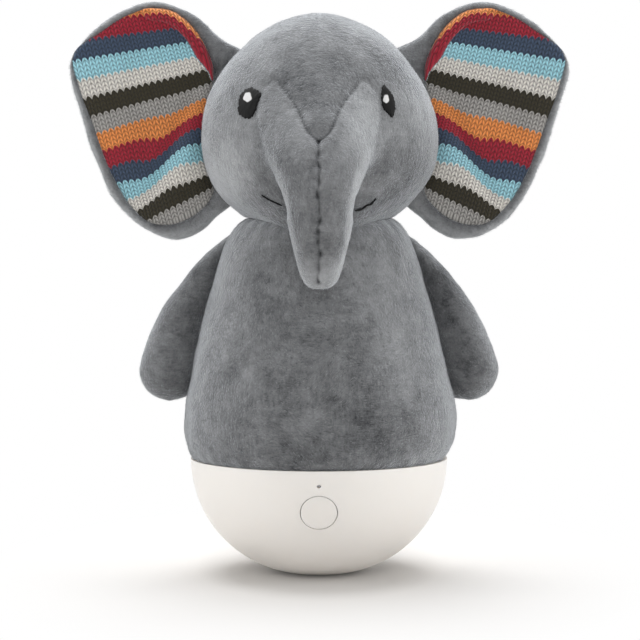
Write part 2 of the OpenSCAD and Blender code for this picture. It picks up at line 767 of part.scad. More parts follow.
// A stuffed arm that hangs from its seam and lies along the body's side
module arm() color("slategray") {
    girth = curve(arm_girth, 2);
    loft([
        for (i = [len(girth) - 1 : -1 : 0])
            let (
                z = arm_top_z - girth[i][0] * arm_l,
                half = girth[i][1] * arm_t / 2
            )
                oval([body_r(z) + swing_gap + half, 0, z], half, girth[i][1] * arm_w / 2, 20)
    ]);
}

module arm_left() mirror([1, 0, 0]) arm();
module arm_right() arm();

base_shell();
deck();
deck_screws();
ballast();
ballast_screws();
battery_tape();
battery();
battery_lead();
battery_connector();
main_board();
main_board_screws();
controller_chip();
lamp_leds();
charging_socket();
button_cap();
switch_plunger();
tactile_switch();
button_board();
button_board_screws();
switch_lead();
microphone();
microphone_boot();
microphone_lead();
liner_disc();
body_cover();
body_filling();
head_cover();
head_filling();
trunk();
eye_left();
eye_right();
mouth_stitches();
ear_left_back();
ear_left_lining();
ear_right_back();
ear_right_lining();
arm_left();
arm_right();
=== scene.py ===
# %% Load the frame
import json
import bpy
import numpy as np
from math import radians
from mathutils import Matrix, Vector


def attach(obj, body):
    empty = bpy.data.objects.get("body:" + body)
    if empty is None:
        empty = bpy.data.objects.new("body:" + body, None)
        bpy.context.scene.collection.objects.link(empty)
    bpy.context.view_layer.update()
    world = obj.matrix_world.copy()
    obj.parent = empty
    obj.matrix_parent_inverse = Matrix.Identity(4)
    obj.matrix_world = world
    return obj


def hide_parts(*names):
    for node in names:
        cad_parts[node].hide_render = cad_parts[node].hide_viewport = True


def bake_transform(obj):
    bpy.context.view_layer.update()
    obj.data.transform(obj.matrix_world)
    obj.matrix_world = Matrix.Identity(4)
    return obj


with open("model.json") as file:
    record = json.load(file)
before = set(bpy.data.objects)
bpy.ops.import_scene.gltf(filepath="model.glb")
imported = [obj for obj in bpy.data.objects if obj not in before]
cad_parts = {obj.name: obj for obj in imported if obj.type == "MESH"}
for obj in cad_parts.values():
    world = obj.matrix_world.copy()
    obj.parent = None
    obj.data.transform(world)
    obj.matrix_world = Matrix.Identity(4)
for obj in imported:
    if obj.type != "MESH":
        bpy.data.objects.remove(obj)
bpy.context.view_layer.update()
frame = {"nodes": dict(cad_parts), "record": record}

scene = bpy.context.scene
MM = 0.001

# %% [markdown]
# # A tumbler night light
# A stuffed elephant sits on a weighted lamp with a round bottom. The rigid pieces come from the CAD frame and only
# get finishes here. The soft ones, of plush, knit and thread, are made new as grids of points, because cloth is what
# plain solids show worst.
#
# ## The camera and the light
# The lamp was photographed from the front, a little above its middle, with a long lens. So the camera
# stands a metre away, 151 mm up, and looks slightly down. A wide lamp overhead, a little behind, does most of the
# lighting and throws the shadow forwards, as on a product table. A weaker one in front and two at the sides
# keep the underside of the head from going black.

# %% Camera
eye_point, look_point = Vector((0.0004, -1.0, 0.151)), Vector((0.0004, 0.0, 0.0935))
camera = bpy.data.objects.new("camera", bpy.data.cameras.new("camera"))
camera.data.sensor_width, camera.data.lens = 36.0, 152.2
camera.location = eye_point
camera.rotation_euler = (look_point - eye_point).to_track_quat("-Z", "Y").to_euler()
scene.collection.objects.link(camera)
scene.camera = camera
scene.view_settings.view_transform = "Standard"
print("camera looks", [round(v, 3) for v in (look_point - eye_point)])

# %% Soft lamps
def soft_lamp(name, place, aim, size, power):
    """A square lamp at place that faces aim."""
    data = bpy.data.lights.new(name, "AREA")
    data.size, data.energy = size, power
    lamp = bpy.data.objects.new(name, data)
    lamp.location = place
    lamp.rotation_euler = (Vector(aim) - Vector(place)).to_track_quat("-Z", "Y").to_euler()
    scene.collection.objects.link(lamp)
    return lamp


lamps = [
    soft_lamp("overhead", (-0.05, 0.24, 0.84), (0, 0, 0.12), 0.65, 8.4),
    soft_lamp("front", (0.10, -1.25, 0.52), (0, 0, 0.1), 0.8, 6.4),
    soft_lamp("right_edge", (0.85, -0.05, 0.34), (0, 0, 0.10), 0.5, 3.4),
    soft_lamp("left_edge", (-0.85, -0.05, 0.34), (0, 0, 0.10), 0.5, 3.2),
]
print(len(lamps), "lamps")

# %% [markdown]
# ## Shader maths as Python
# A finish is a small web of nodes. Writing it link by link hides the formula, so one class wraps a socket and
# lets + - * / stand for Math nodes. Every other node comes from one method, which takes the node's type, its
# settings and what goes into its sockets.

# %% One socket, with operators
class Flow:
    """A value on its way through a finish. Arithmetic on it adds Math nodes."""

    def __init__(self, finish, socket):
        self.finish, self.socket = finish, socket

    def math(self, operation, *values):
        """A Math node with these inputs."""
        return self.finish.node("ShaderNodeMath", {"operation": operation}, dict(enumerate(values)))

    def __add__(self, other): return self.math("ADD", self, other)
    def __radd__(self, other): return self.math("ADD", other, self)
    def __sub__(self, other): return self.math("SUBTRACT", self, other)
    def __rsub__(self, other): return self.math("SUBTRACT", other, self)
    def __mul__(self, other): return self.math("MULTIPLY", self, other)
    def __rmul__(self, other): return self.math("MULTIPLY", other, self)
    def __truediv__(self, other): return self.math("DIVIDE", self, other)
    def __pow__(self, other): return self.math("POWER", self, other)
    def __abs__(self): return self.math("ABSOLUTE", self)
    def part(self): return self.math("FRACT", self)
    def wave(self): return self.math("SINE", self)
    def most(self, other): return self.math("MAXIMUM", self, other)
    def least(self, other): return self.math("MINIMUM", self, other)
    def between(self, low, high): return ((self - low) / (high - low)).most(0.0).least(1.0)


# %% A finish
class Finish:
    """A material, or the world, under construction. node() adds any node, and surface() sets the shader's sockets."""

    def __init__(self, name, kind="materials"):
        self.material = getattr(bpy.data, kind).new(name)
        self.material.use_nodes = True
        self.tree = self.material.node_tree
        self.shader = self.tree.nodes["Principled BSDF" if kind == "materials" else "Background"]

    def put(self, socket, value):
        """Sets a socket to a number or a colour, or links a value to it."""
        if isinstance(value, Flow):
            self.tree.links.new(value.socket, socket)
        else:
            socket.default_value = value

    def node(self, kind, settings=None, sockets=None, out=0):
        """Adds a node: first its settings, such as a ramp's stops, then the values or links of its sockets."""
        made = self.tree.nodes.new(kind)
        for key, value in (settings or {}).items():
            if key == "stops":
                ramp = made.color_ramp
                for at, _ in value[2:]:
                    ramp.elements.new(at)
                for element, (at, colour) in zip(ramp.elements, value):
                    element.position, element.color = at, (*colour, 1.0)
            elif key == "ramp":
                made.color_ramp.interpolation = value
            else:
                setattr(made, key, value)
        for key, value in (sockets or {}).items():
            self.put(made.inputs[key], value)
        return Flow(self, made.outputs[out])

    def mix(self, share, first, second):
        """Two colours mixed by a share."""
        return self.node("ShaderNodeMix", {"data_type": "RGBA"}, {0: share, 6: first, 7: second}, 2)

    def noise(self, place, scale, detail=2.0, rough=0.5):
        """Soft random values about 0.5, with about scale of them to a metre."""
        return self.node("ShaderNodeTexNoise", {}, {"Vector": place, "Scale": scale, "Detail": detail,
                                                    "Roughness": rough})

    def bump(self, strength, distance, height):
        """The surface's direction, tilted as if it had this height."""
        return self.node("ShaderNodeBump", {}, {"Strength": strength, "Distance": distance, "Height": height})

    def place(self, turn=(0, 0, 0), scale=(1, 1, 1)):
        """The piece's own coordinates in metres, turned and stretched."""
        own = self.node("ShaderNodeTexCoord", out="Object")
        return self.node("ShaderNodeMapping", {}, {"Vector": own, "Rotation": turn, "Scale": scale})

    def kept(self, name):
        """A number that the mesh keeps for each of its points, 0 where it keeps none."""
        return self.node("ShaderNodeAttribute", {"attribute_name": name}, out="Fac")

    def seen(self):
        """1 for what the camera sees, in a mirror or through glass too, and 0 for light that only bounces."""
        camera_ray, glossy, through = (self.node("ShaderNodeLightPath", out=kind) for kind in (
            "Is Camera Ray", "Is Glossy Ray", "Is Transmission Ray"))
        return camera_ray.most(glossy).most(through)

    def surface(self, **values):
        """Sets the shader's sockets. A _ stands for a space in a socket's name."""
        for key, value in values.items():
            self.put(self.shader.inputs[key.replace("_", " ")], value)
        return self.material


def paint(obj, material):
    """Gives every face of a piece one finish."""
    obj.data.materials.clear()
    obj.data.materials.append(material)


def dress(obj, material, slot, *nodes):
    """Gives a new piece its finish and hides the CAD nodes it stands for.
    slot is not used.
    """
    paint(obj, material)
    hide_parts(*nodes)


print("shader maths ready")

# %% [markdown]
# ## The table
# The real one stands on white paper: only the shadow tells where the floor is. Far from the lamp the table simply
# shines white to the camera. Near it, a pale matt surface takes the shadow, and close round the foot a soft painted
# shadow darkens its colour. Light that bounces off the table on to the object meets a plain diffuse surface, a little
# paler, so that the bowl's underside isn't too dark.

# %% Table and backdrop
def table_finish():
    """Mixes by distance from the object: a painted shadow close round the foot, then pale and matt, and far
    away plain white. Light that only bounces meets a dull grey instead."""
    finish = Finish("pale_table")
    paper = finish.mix(finish.noise(finish.place(), 40.0) * 0.1, (0.66, 0.642, 0.62, 1), (0.63, 0.612, 0.59, 1))
    # painted shadow: the table's colour darkens to this grey close round the foot, centred a little behind it
    foot = {0: finish.place(scale=(1.9, 1, 1)), 1: (0, 0.02, 0)}
    away = finish.node("ShaderNodeVectorMath", {"operation": "DISTANCE"}, foot, "Value").between(0.036, 0.09)
    finish.surface(Base_Color=finish.mix(away, (0.42, 0.409, 0.395, 1), paper), Roughness=0.9,
                   Emission_Color=(1, 0.98, 0.95, 1), Emission_Strength=0.03)
    matt = Flow(finish, finish.shader.outputs[0])
    white = finish.node("ShaderNodeEmission", {}, {"Color": (1, 1, 1, 1), "Strength": 1.0})
    dull = finish.node("ShaderNodeBsdfDiffuse", {}, {"Color": (0.80, 0.785, 0.765, 1)})
    around = {0: finish.place(scale=(1.5, 1, 1))}
    far = finish.node("ShaderNodeVectorMath", {"operation": "LENGTH"}, around, "Value").between(0.05, 0.19)
    shown = finish.node("ShaderNodeMixShader", {}, {0: far, 1: matt, 2: white})
    whole = finish.node("ShaderNodeMixShader", {}, {0: finish.seen(), 1: dull, 2: shown})
    finish.put(finish.tree.nodes["Material Output"].inputs["Surface"], whole)
    return finish.material


half = 6.0
corners = [(-half, -half, 0), (half, -half, 0), (half, half, 0), (-half, half, 0)]
floor_mesh = bpy.data.meshes.new("table")
floor_mesh.from_pydata(corners, [], [(0, 1, 2, 3)])
floor = bpy.data.objects.new("table", floor_mesh)
scene.collection.objects.link(floor)
paint(floor, table_finish())

studio = Finish("studio", "worlds")
scene.world = studio.surface(Color=studio.mix(studio.seen(), (0.30, 0.30, 0.305, 1), (1, 1, 1, 1)))
print("table", floor.dimensions[:2])

# %% [markdown]
# ## From arrays to meshes
# Every soft piece here is a grid of points worked out as whole arrays: rows along the piece and columns round
# it. A row that shrinks to a point becomes a pole. The same helper turns the faces outwards, and keeps the
# grid's own rows and columns as a flat map of the cloth.

# %% Mesh helpers
def build(name, points, faces, flat=None):
    """A smooth mesh object from points in mm and arrays of faces with equal corner counts. flat holds one map
    place for each corner."""
    mesh = bpy.data.meshes.new(name)
    counts = np.concatenate([np.full(len(f), f.shape[1]) for f in faces])
    corners = np.concatenate([f.ravel() for f in faces])
    mesh.vertices.add(len(points))
    mesh.vertices.foreach_set("co", (np.asarray(points) * MM).astype(np.float32).ravel())
    mesh.loops.add(len(corners))
    mesh.loops.foreach_set("vertex_index", corners.astype(np.int32))
    mesh.polygons.add(len(counts))
    mesh.polygons.foreach_set("loop_start", np.concatenate([[0], np.cumsum(counts)[:-1]]).astype(np.int32))
    mesh.polygons.foreach_set("use_smooth", np.ones(len(counts), bool))
    mesh.update(calc_edges=True)
    if flat is not None:
        mesh.uv_layers.new(name="OFBake").uv.foreach_set("vector", flat.astype(np.float32).ravel())
    obj = bpy.data.objects.new(name, mesh)
    scene.collection.objects.link(obj)
    return obj


def volume(points, faces):
    """Signed volume: a sixth of the sum of a . (b x c) over the triangles of each face."""
    total = 0.0
    for f in faces:
        for k in range(1, f.shape[1] - 1):
            a, b, c = (points[f[:, i]] for i in (0, k, k + 1))
            total += np.einsum("ij,ij->", a, np.cross(b, c)) / 6
    return total


def closed_grid(name, grid):
    """A closed piece from rows (first axis) of columns (second axis) that run round it. The first and last
    rows shrink to poles at their mean points."""
    rows, cols = grid.shape[:2]
    points = np.concatenate([grid[0].mean(0)[None], grid[1:-1].reshape(-1, 3), grid[-1].mean(0)[None]])
    ring = 1 + np.arange((rows - 2) * cols).reshape(rows - 2, cols)
    here, after = ring, np.roll(ring, -1, 1)
    quads = np.stack([here[:-1], after[:-1], after[1:], here[1:]], -1).reshape(-1, 4)
    first = np.stack([np.zeros(cols, int), after[0], here[0]], -1)
    last = np.stack([here[-1], after[-1], np.full(cols, len(points) - 1)], -1)
    u, v = np.arange(cols) / cols, np.linspace(0, 1, rows)
    step = 1 / cols

    def corner(shift, row):
        return np.stack(np.broadcast_arrays(u[None] + shift * step, v[row][:, None]), -1)

    low, high = slice(1, rows - 2), slice(2, rows - 1)
    flat_quads = np.stack([corner(0, low), corner(1, low), corner(1, high), corner(0, high)], -2)
    flat_first = np.stack([corner(0.5, slice(0, 1)), corner(1, slice(1, 2)), corner(0, slice(1, 2))], -2)
    flat_last = np.stack([corner(0, slice(rows - 2, rows - 1)), corner(1, slice(rows - 2, rows - 1)),
                          corner(0.5, slice(rows - 1, rows))], -2)
    faces = [quads, first, last]
    flats = [flat_quads.reshape(-1, 4, 2), flat_first.reshape(-1, 3, 2), flat_last.reshape(-1, 3, 2)]
    if volume(points, faces) < 0:
        faces, flats = [f[:, ::-1] for f in faces], [f[:, ::-1] for f in flats]
    return build(name, points, faces, np.concatenate([f.reshape(-1, 2) for f in flats]))


print("mesh helpers ready")

# %% Curves and unevenness
def spans(a, b, c, d, steps):
    """Catmull-Rom spans: on each, a cubic from b to c whose slope at a knot is half the way from the knot before to
    the knot after."""
    u = (np.arange(steps) / steps)[None, :, None]
    cubic = 0.5 * (2 * b + (c - a) * u + (2 * a - 5 * b + 4 * c - d) * u ** 2 + (3 * b - a - 3 * c + d) * u ** 3)
    return cubic.reshape(-1, cubic.shape[-1])


def smooth_through(knots, steps):
    """The open curve of Catmull-Rom spans through knots."""
    k = np.asarray(knots, float)
    k = np.concatenate([k[:1], k, k[-1:]])
    return np.concatenate([spans(*(k[i:len(k) - 3 + i, None] for i in range(4)), steps), k[-1:]])


def smooth_ring(knots, steps):
    """The closed curve of Catmull-Rom spans through knots."""
    k = np.asarray(knots, float)
    return spans(*(np.roll(k, 1 - i, 0)[:, None] for i in range(4)), steps)


def capped(rings):
    """Rings with a pole at either end, at the mean of the end ring."""
    first, last = (np.broadcast_to(ring.mean(0), ring.shape)[None] for ring in (rings[0], rings[-1]))
    return np.concatenate([first, rings, last])


def lumps(points, length, seed, waves=14):
    """Smooth unevenness from -1 to 1: a mean of plane waves about length mm long, in seeded directions."""
    rng = np.random.default_rng(seed)
    way = rng.normal(size=(waves, 3))
    way /= np.linalg.norm(way, axis=1, keepdims=True)
    pace = 2 * np.pi / (length * rng.uniform(0.7, 1.5, waves))
    return np.sin(points @ (way * pace[:, None]).T + rng.uniform(0, 6.28, waves)).sum(-1) / np.sqrt(waves * 2)


def ease(x, low, high):
    """0 below low, 1 above high, and a smooth step between them."""
    t = np.clip((x - low) / (high - low), 0, 1)
    return t * t * (3 - 2 * t)


def unit(v):
    """Vectors along the last axis, brought to length 1."""
    return v / np.maximum(np.linalg.norm(v, axis=-1, keepdims=True), 1e-9)


sample = np.random.default_rng(0).normal(size=(500, 3)) * 40
print("lumps reach", round(float(np.abs(lumps(sample, 30.0, 1)).max()), 2))

# %% Read and write meshes
def get_points(obj):
    """A mesh's points in mm."""
    co = np.empty(len(obj.data.vertices) * 3, np.float32)
    obj.data.vertices.foreach_get("co", co)
    return co.reshape(-1, 3).astype(float) / MM


def set_points(obj, points):
    """Moves a mesh's points to places in mm."""
    obj.data.vertices.foreach_set("co", (points * MM).astype(np.float32).ravel())
    obj.data.update()


def get_normals(obj):
    """The outward direction at each point."""
    way = np.empty(len(obj.data.vertices) * 3, np.float32)
    obj.data.vertex_normals.foreach_get("vector", way)
    return way.reshape(-1, 3).astype(float)


def mark(obj, name, values):
    """Keeps one number for each point of a mesh, for its finish to read."""
    obj.data.attributes.new(name, "FLOAT", "POINT").data.foreach_set("value", values.astype(np.float32))


def relax(obj, weight, rounds):
    """Moves each point towards the mean of its neighbours by its own weight, several times over."""
    ends = np.empty(len(obj.data.edges) * 2, np.int32)
    obj.data.edges.foreach_get("vertices", ends)
    a, b = ends.reshape(-1, 2).T
    p = get_points(obj)
    n = len(p)
    count = np.bincount(a, minlength=n) + np.bincount(b, minlength=n)
    for _ in range(rounds):
        total = np.stack([np.bincount(a, p[b, k], n) + np.bincount(b, p[a, k], n) for k in range(3)], -1)
        p = p + weight[:, None] * (total / count[:, None] - p)
    set_points(obj, p)


print("mesh access ready")

# %% [markdown]
# ## Stuffing by simulation
# A stuffed cover is tight cloth round loose fibre: it swells between its seams and stays put along them. A
# short cloth simulation with pressure inside gives that. Points along seams are pinned, and how far any point
# may move is capped, so the piece keeps the size it was cut to.

# %% Swell a cover
def swell(obj, pressure, slim, cap, pinned, mass=0.3, frames=20):
    """Draws a cover in by slim mm except at its pinned points, then runs the cloth solver with pressure inside and
    without gravity. This is done on a copy fifteen times as large, because the solver's forces suit cloth of about a
    metre. A point may move by cap mm at most. Gives how far the cover swelled on average."""
    enlarge = 15.0
    start = get_points(obj) - slim * get_normals(obj) * (~pinned)[:, None]
    slack = bpy.data.objects.new("slack_cover", obj.data.copy())
    scene.collection.objects.link(slack)
    set_points(slack, start * enlarge)
    slack.vertex_groups.new(name="sewn").add(np.flatnonzero(pinned).tolist(), 1.0, "REPLACE")
    cloth = slack.modifiers.new("stuffing", "CLOTH")
    cloth.settings.vertex_group_mass = "sewn"
    cloth.settings.use_pressure = True
    cloth.settings.uniform_pressure_force = pressure
    cloth.settings.effector_weights.gravity = 0
    cloth.settings.quality = 5
    cloth.settings.mass = mass
    cloth.settings.tension_stiffness = cloth.settings.compression_stiffness = 12
    cloth.settings.bending_stiffness = 0.5
    cloth.point_cache.frame_start, cloth.point_cache.frame_end = 1, frames
    for f in range(1, frames + 1):
        scene.frame_set(f)
    made = slack.evaluated_get(bpy.context.evaluated_depsgraph_get())
    co = np.empty(start.size, np.float32)
    made.data.vertices.foreach_get("co", co)
    step = co.reshape(-1, 3).astype(float) / (MM * enlarge) - start
    bpy.data.objects.remove(slack)
    scene.frame_set(1)
    far = np.linalg.norm(step, axis=1, keepdims=True)
    step *= np.minimum(1, cap / np.maximum(far, 1e-9))
    set_points(obj, start + step)
    return float(far.mean())


print("stuffing by", "cloth simulation")

# %% [markdown]
# ## Plush
# The cover is a grey, very short pile. Where it was pressed or brushed, it lies another way and looks lighter or
# darker, so soft patches and fine streaks cover it, and light that grazes the pile makes its edges glow, which is
# what a shader's sheen gives. Each piece keeps two numbers per point: one darkens seams and painted shade, the other
# lightens a panel cut the other way round, and paints light and shade where they fall.

# %% Plush finish
def plush_finish(name, dark, light):
    """Grey pile: patches, streaks that lie across or along, specks, and a kept number for cut panels and painted light
    and shade mix two greys. The same streaks lift the surface. Seams and painted shade are nearly black."""
    finish = Finish(name)
    patch = finish.noise(finish.place(scale=(1, 1, 0.75)), 38.0, 3.0, 0.55) - 0.5
    cloud = finish.noise(finish.place(), 115.0, 2.0, 0.5) - 0.5
    brushed = finish.noise(finish.place(), 55.0, 1.0).between(0.42, 0.58)
    across = finish.noise(finish.place(scale=(0.5, 0.5, 1.5)), 620.0, 3.0, 0.6) - 0.5
    along = finish.noise(finish.place(turn=(0.3, 0.2, 0), scale=(1.5, 1.5, 0.5)), 620.0, 3.0, 0.6) - 0.5
    streak = across + (along - across) * brushed
    ruffle = finish.noise(finish.place(), 300.0, 2.0, 0.6) - 0.5
    speck = finish.noise(finish.place(), 1500.0, 2.0, 0.6) - 0.5
    # the kept number lightens or darkens the pile for panels cut the other way and for painted light and shade
    tone = (patch * 1.5 + cloud * 0.9 + ruffle * 0.85 + streak * 0.85 + speck * 0.7 + finish.kept("nap")
            + finish.kept("tip") * 0.2 + 0.40)
    colour = finish.mix(tone.between(-0.5, 1.5), (*dark, 1), (*light, 1))
    # the other kept number blackens seams and painted shade
    colour = finish.mix(finish.kept("seam"), colour, (0.012, 0.012, 0.013, 1))
    lift = finish.bump(0.75, 0.0009, streak * 0.8 + speck * 0.7)
    return finish.surface(Base_Color=colour, Roughness=0.95, Normal=lift, Sheen_Weight=1.0, Sheen_Roughness=0.4,
                          Sheen_Tint=(0.86, 0.9, 0.95, 1), Specular_IOR_Level=0.1)


plush = plush_finish("grey_plush", (0.027, 0.028, 0.031), (0.351, 0.361, 0.371))
print("plush nodes", len(plush.node_tree.nodes))

# %% [markdown]
# ## The pile itself
# A finish alone leaves the cover as smooth as felt, and its outline as sharp as plastic. Hair particles would give
# the pile, but they aren't part of a mesh. So thousands of tufts, each a spike of only four faces, are placed in one
# step as arrays. They lie nearly flat, the way a hand strokes plush. Each borrows the skin's own direction for its
# shading: with their own directions the tufts would look like gravel.

# %% Pile
def shades(p, *patches):
    """How much lighter the pile looks in soft patches seen from the front, partly how its panels lie and partly
    painted light and shade. A patch is its strength, x, z, half width and half height: a bell curve in x and in z."""
    strength, x, z, wide, high = np.array(patches).T
    bells = np.exp(-((p[:, :1] - x) / wide) ** 2 - ((p[:, 2:] - z) / high) ** 2)
    return bells @ strength * (p[:, 1] < 0)


def pile(name, skin, count, long, seed, keep, combed, spread=0.15):
    """Short tufts on a skin. Places are picked evenly by area on its triangles where keep is set. A tuft is a thin
    three-sided spike that lies along the skin the way it was combed, plus a slow swirl. It is shaded nearly as the
    skin below it, so that the pile reads as one soft surface, and takes over what its skin keeps. Its own shade of
    grey differs by spread."""
    rng = np.random.default_rng(seed)
    skin.data.calc_loop_triangles()
    corners = np.empty(len(skin.data.loop_triangles) * 3, np.int32)
    skin.data.loop_triangles.foreach_get("vertices", corners)
    tri = corners.reshape(-1, 3)
    tri = tri[keep[tri].all(1)]
    p, n = get_points(skin), get_normals(skin)
    a, b, c = (p[tri[:, i]] for i in range(3))
    area = np.linalg.norm(np.cross(b - a, c - a), axis=1)
    pick = rng.choice(len(tri), count, p=area / area.sum())
    u = np.sort(rng.random((count, 2)), 1)
    share = np.stack([u[:, 0], u[:, 1] - u[:, 0], 1 - u[:, 1]], -1)[..., None]
    root = (p[tri[pick]] * share).sum(1)
    out = unit((n[tri[pick]] * share).sum(1))
    swirl = np.stack([lumps(root, 30.0, seed + i) for i in (1, 2, 3)], -1)
    lay = 0.8 * swirl + (combed[tri[pick]] * share).sum(1) + rng.normal(0, 0.14, (count, 3))
    lay = unit(lay - (lay * out).sum(1, keepdims=True) * out)
    side = np.cross(out, lay)
    size = long * rng.uniform(0.65, 1.25, (count, 1))
    rise = rng.uniform(0.05, 0.24, (count, 1))
    sunk, wide = 0.08, 0.045 * long
    low = root - sunk * out
    spikes = np.stack([low + wide * side, low - wide * side, low - 1.5 * wide * lay,
                       root + size * (rise * out + np.sqrt(1 - rise ** 2) * lay)], 1)
    faces = np.array([[0, 3, 1], [1, 3, 2], [2, 3, 0], [0, 1, 2]])
    faces = (np.arange(count)[:, None, None] * 4 + faces).reshape(-1, 3)
    round_it = np.arctan2(root[:, 0] - p[:, 0].mean(), -(root[:, 1] - p[:, 1].mean())) / (2 * np.pi) + 0.5
    flat = np.stack([round_it, (root[:, 2] - p[:, 2].min()) / np.ptp(p[:, 2])], -1) * 0.98 + 0.005
    flat = flat[:, None] + np.array([[0, 0], [0.006, 0], [0, 0.006], [0.006, 0.006]])
    piece = build(name, spikes.reshape(-1, 3), [faces], flat.reshape(-1, 2)[faces.ravel()])
    piece.data.normals_split_custom_set_from_vertices(np.repeat(unit(out + rng.normal(0, 0.2, (count, 3))), 4, 0))
    mark(piece, "tip", np.tile([0.0, 0.0, 0.0, 1.0], count))
    for key, own_spread in (("nap", spread), ("seam", 0.0)):
        own = np.empty(len(p), np.float32)
        skin.data.attributes[key].data.foreach_get("value", own)
        mark(piece, key, np.repeat((own[tri[pick]] * share[..., 0]).sum(1) + rng.normal(0, own_spread, count), 4))
    paint(piece, plush)
    return piece


print("pile ready")

# %% [markdown]
# ## Plastic, metal and what is inside
# The base is satin white plastic that lets light in a little. All the pieces inside it keep their CAD shape, and
# get finishes of their own: they show if the base is opened. Fine noise shades colour, gloss and height, because
# no moulded or rolled surface is quite even.

# %% Plain finishes of the rigid pieces
def plain_finish(name, colour, rough, metal=0.0, grain=900.0, lift=0.0002):
    """A moulded, cast or rolled surface: fine noise shades its colour, its roughness and its height."""
    finish = Finish(name)
    coarse = finish.noise(finish.place(), grain * 0.08, 3.0)
    fine = finish.noise(finish.place(), grain, 2.0)
    low = tuple(c * 0.9 for c in colour)
    tone = finish.mix(coarse * 0.7 + fine * 0.3, (*low, 1), (*(min(1, c * 1.06) for c in colour), 1))
    return finish.surface(Base_Color=tone, Roughness=coarse * 0.16 + (rough - 0.08), Metallic=metal,
                          Normal=finish.bump(0.15, lift, fine))


looks = {  # slot: name, colour, roughness, then metal, grain and lift where they differ
    "deck_plastic": ("deck_plastic", (0.72, 0.72, 0.70), 0.5),
    "steel": ("screw_steel", (0.62, 0.62, 0.63), 0.32, 1.0),
    "iron": ("cast_iron", (0.07, 0.07, 0.075), 0.75, 0.6, 400.0, 0.0005),
    "foam_tape": ("foam_tape", (0.6, 0.6, 0.6), 0.9, 0.0, 1500.0, 0.0005),
    "cell": ("foil_pouch", (0.62, 0.66, 0.72), 0.3, 0.9),
    "red_wire": ("red_wire", (0.45, 0.03, 0.03), 0.45),
    "grey_wire": ("grey_wire", (0.12, 0.12, 0.125), 0.45),
    "connector_plastic": ("connector_plastic", (0.75, 0.72, 0.6), 0.45),
    "circuit_board": ("solder_mask", (0.02, 0.17, 0.08), 0.35),
    "chip": ("chip_black", (0.02, 0.02, 0.02), 0.5),
    "led": ("phosphor", (0.85, 0.75, 0.35), 0.4),
    "socket_steel": ("socket_steel", (0.66, 0.66, 0.68), 0.28, 1.0),
    "switch_plastic": ("switch_black", (0.04, 0.04, 0.042), 0.45),
    "capsule": ("drawn_can", (0.6, 0.6, 0.62), 0.35, 1.0),
    "boot_rubber": ("boot_rubber", (0.02, 0.02, 0.02), 0.8),
    "lining_cloth": ("lining_cloth", (0.2, 0.2, 0.205), 0.95, 0.0, 1800.0, 0.0004),
    "fibre": ("loose_fibre", (0.8, 0.8, 0.78), 0.95, 0.0, 1200.0, 0.0008),
}
rigid = {slot: plain_finish(*look) for slot, look in looks.items()}
print(len(rigid), "plain finishes")

# %% Satin shell
def shell_finish():
    """Satin white plastic that light enters a little: a faint mottle, slightly warmer towards the bottom."""
    finish = Finish("satin_shell")
    own = finish.node("ShaderNodeTexCoord", out="Object")
    high = finish.node("ShaderNodeSeparateXYZ", {}, {0: own}, 2)
    cloud = finish.noise(finish.place(), 60.0, 2.0)
    grain = finish.noise(finish.place(), 1600.0, 2.0)
    share = high.between(0.0, 0.0425) * 0.85 + cloud * 0.15
    colour = finish.mix(share, (0.79, 0.755, 0.715, 1), (0.775, 0.75, 0.715, 1))
    return finish.surface(Base_Color=colour, Roughness=grain * 0.08 + 0.34, Normal=finish.bump(0.08, 0.0002, grain),
                          Subsurface_Weight=0.25, Subsurface_Scale=0.004, Subsurface_Radius=(1.0, 0.9, 0.8),
                          Specular_IOR_Level=0.4)


rigid["shell_plastic"] = rigid["button_plastic"] = shell_finish()
for entry in frame["record"]["subparts"]:
    if entry["material_slot"] in rigid:
        paint(frame["nodes"][entry["node"]], rigid[entry["material_slot"]])
print(len(rigid), "rigid finishes")

# %% [markdown]
# ## The body
# The body is a tapered bag, tied in at the neck and tucked under at the rim of the base. Its outline is a
# smooth curve through a few places, and each level is an oval that grows shallower towards the neck. The bag
# starts slightly slim, swells in the simulation, and then gets its cloth's thickness and small gathers at the hem.

# %% Body outline
hem, neck = (47.6, 42.6), (27.0, 131.0)
body_line = smooth_through([hem, (49.8, 57.0), (44.9, 86.0), (37.6, 113.0), (34.6, 121.5), (30.6, 127.4), neck], 30)


def body_radius(z):
    """The body's half width at a height."""
    return np.interp(z, body_line[:, 1], body_line[:, 0])


def body_depth(z):
    """The body's depth as a share of its width."""
    return 1 - 0.06 * (z - hem[1]) / (neck[1] - hem[1])


def body_rows(heights, cols):
    """Oval rings at the given heights."""
    z = np.asarray(heights)[:, None]
    a = (np.arange(cols) * 2 * np.pi / cols)[None]
    r = body_radius(z)
    return np.stack(np.broadcast_arrays(r * np.cos(a), r * body_depth(z) * np.sin(a), z), -1)


rough = body_rows(np.linspace(hem[1], neck[1], 42), cols=96)
slack = closed_grid("slack_body", np.concatenate([rough[:1] * [0, 0, 1], rough, rough[-1:] * [0, 0, 1]]))
height = get_points(slack)[:, 2]
ends = (height < hem[1] + 0.1) | (height > neck[1] - 0.1)
moved = swell(slack, pressure=19.0, slim=1.0, cap=2.0, pinned=ends)
swollen = get_points(slack)[1:-1].reshape(rough.shape) - rough
bpy.data.objects.remove(slack)
print("body swells by", round(moved, 2), "mm on average")

# %% Body surface
def finer(field, rows, cols):
    """A grid of offsets resampled to more rows and columns, by straight lines along each axis."""
    r = np.linspace(0, field.shape[0] - 1, rows)
    c = np.arange(cols) * field.shape[1] / cols
    r0, c0 = np.minimum(r.astype(int), field.shape[0] - 2), c.astype(int) % field.shape[1]
    c1, fr, fc = (c0 + 1) % field.shape[1], (r - r0)[:, None, None], (c - c.astype(int))[None, :, None]
    return ((field[r0][:, c0] * (1 - fc) + field[r0][:, c1] * fc) * (1 - fr)
            + (field[r0 + 1][:, c0] * (1 - fc) + field[r0 + 1][:, c1] * fc) * fr)


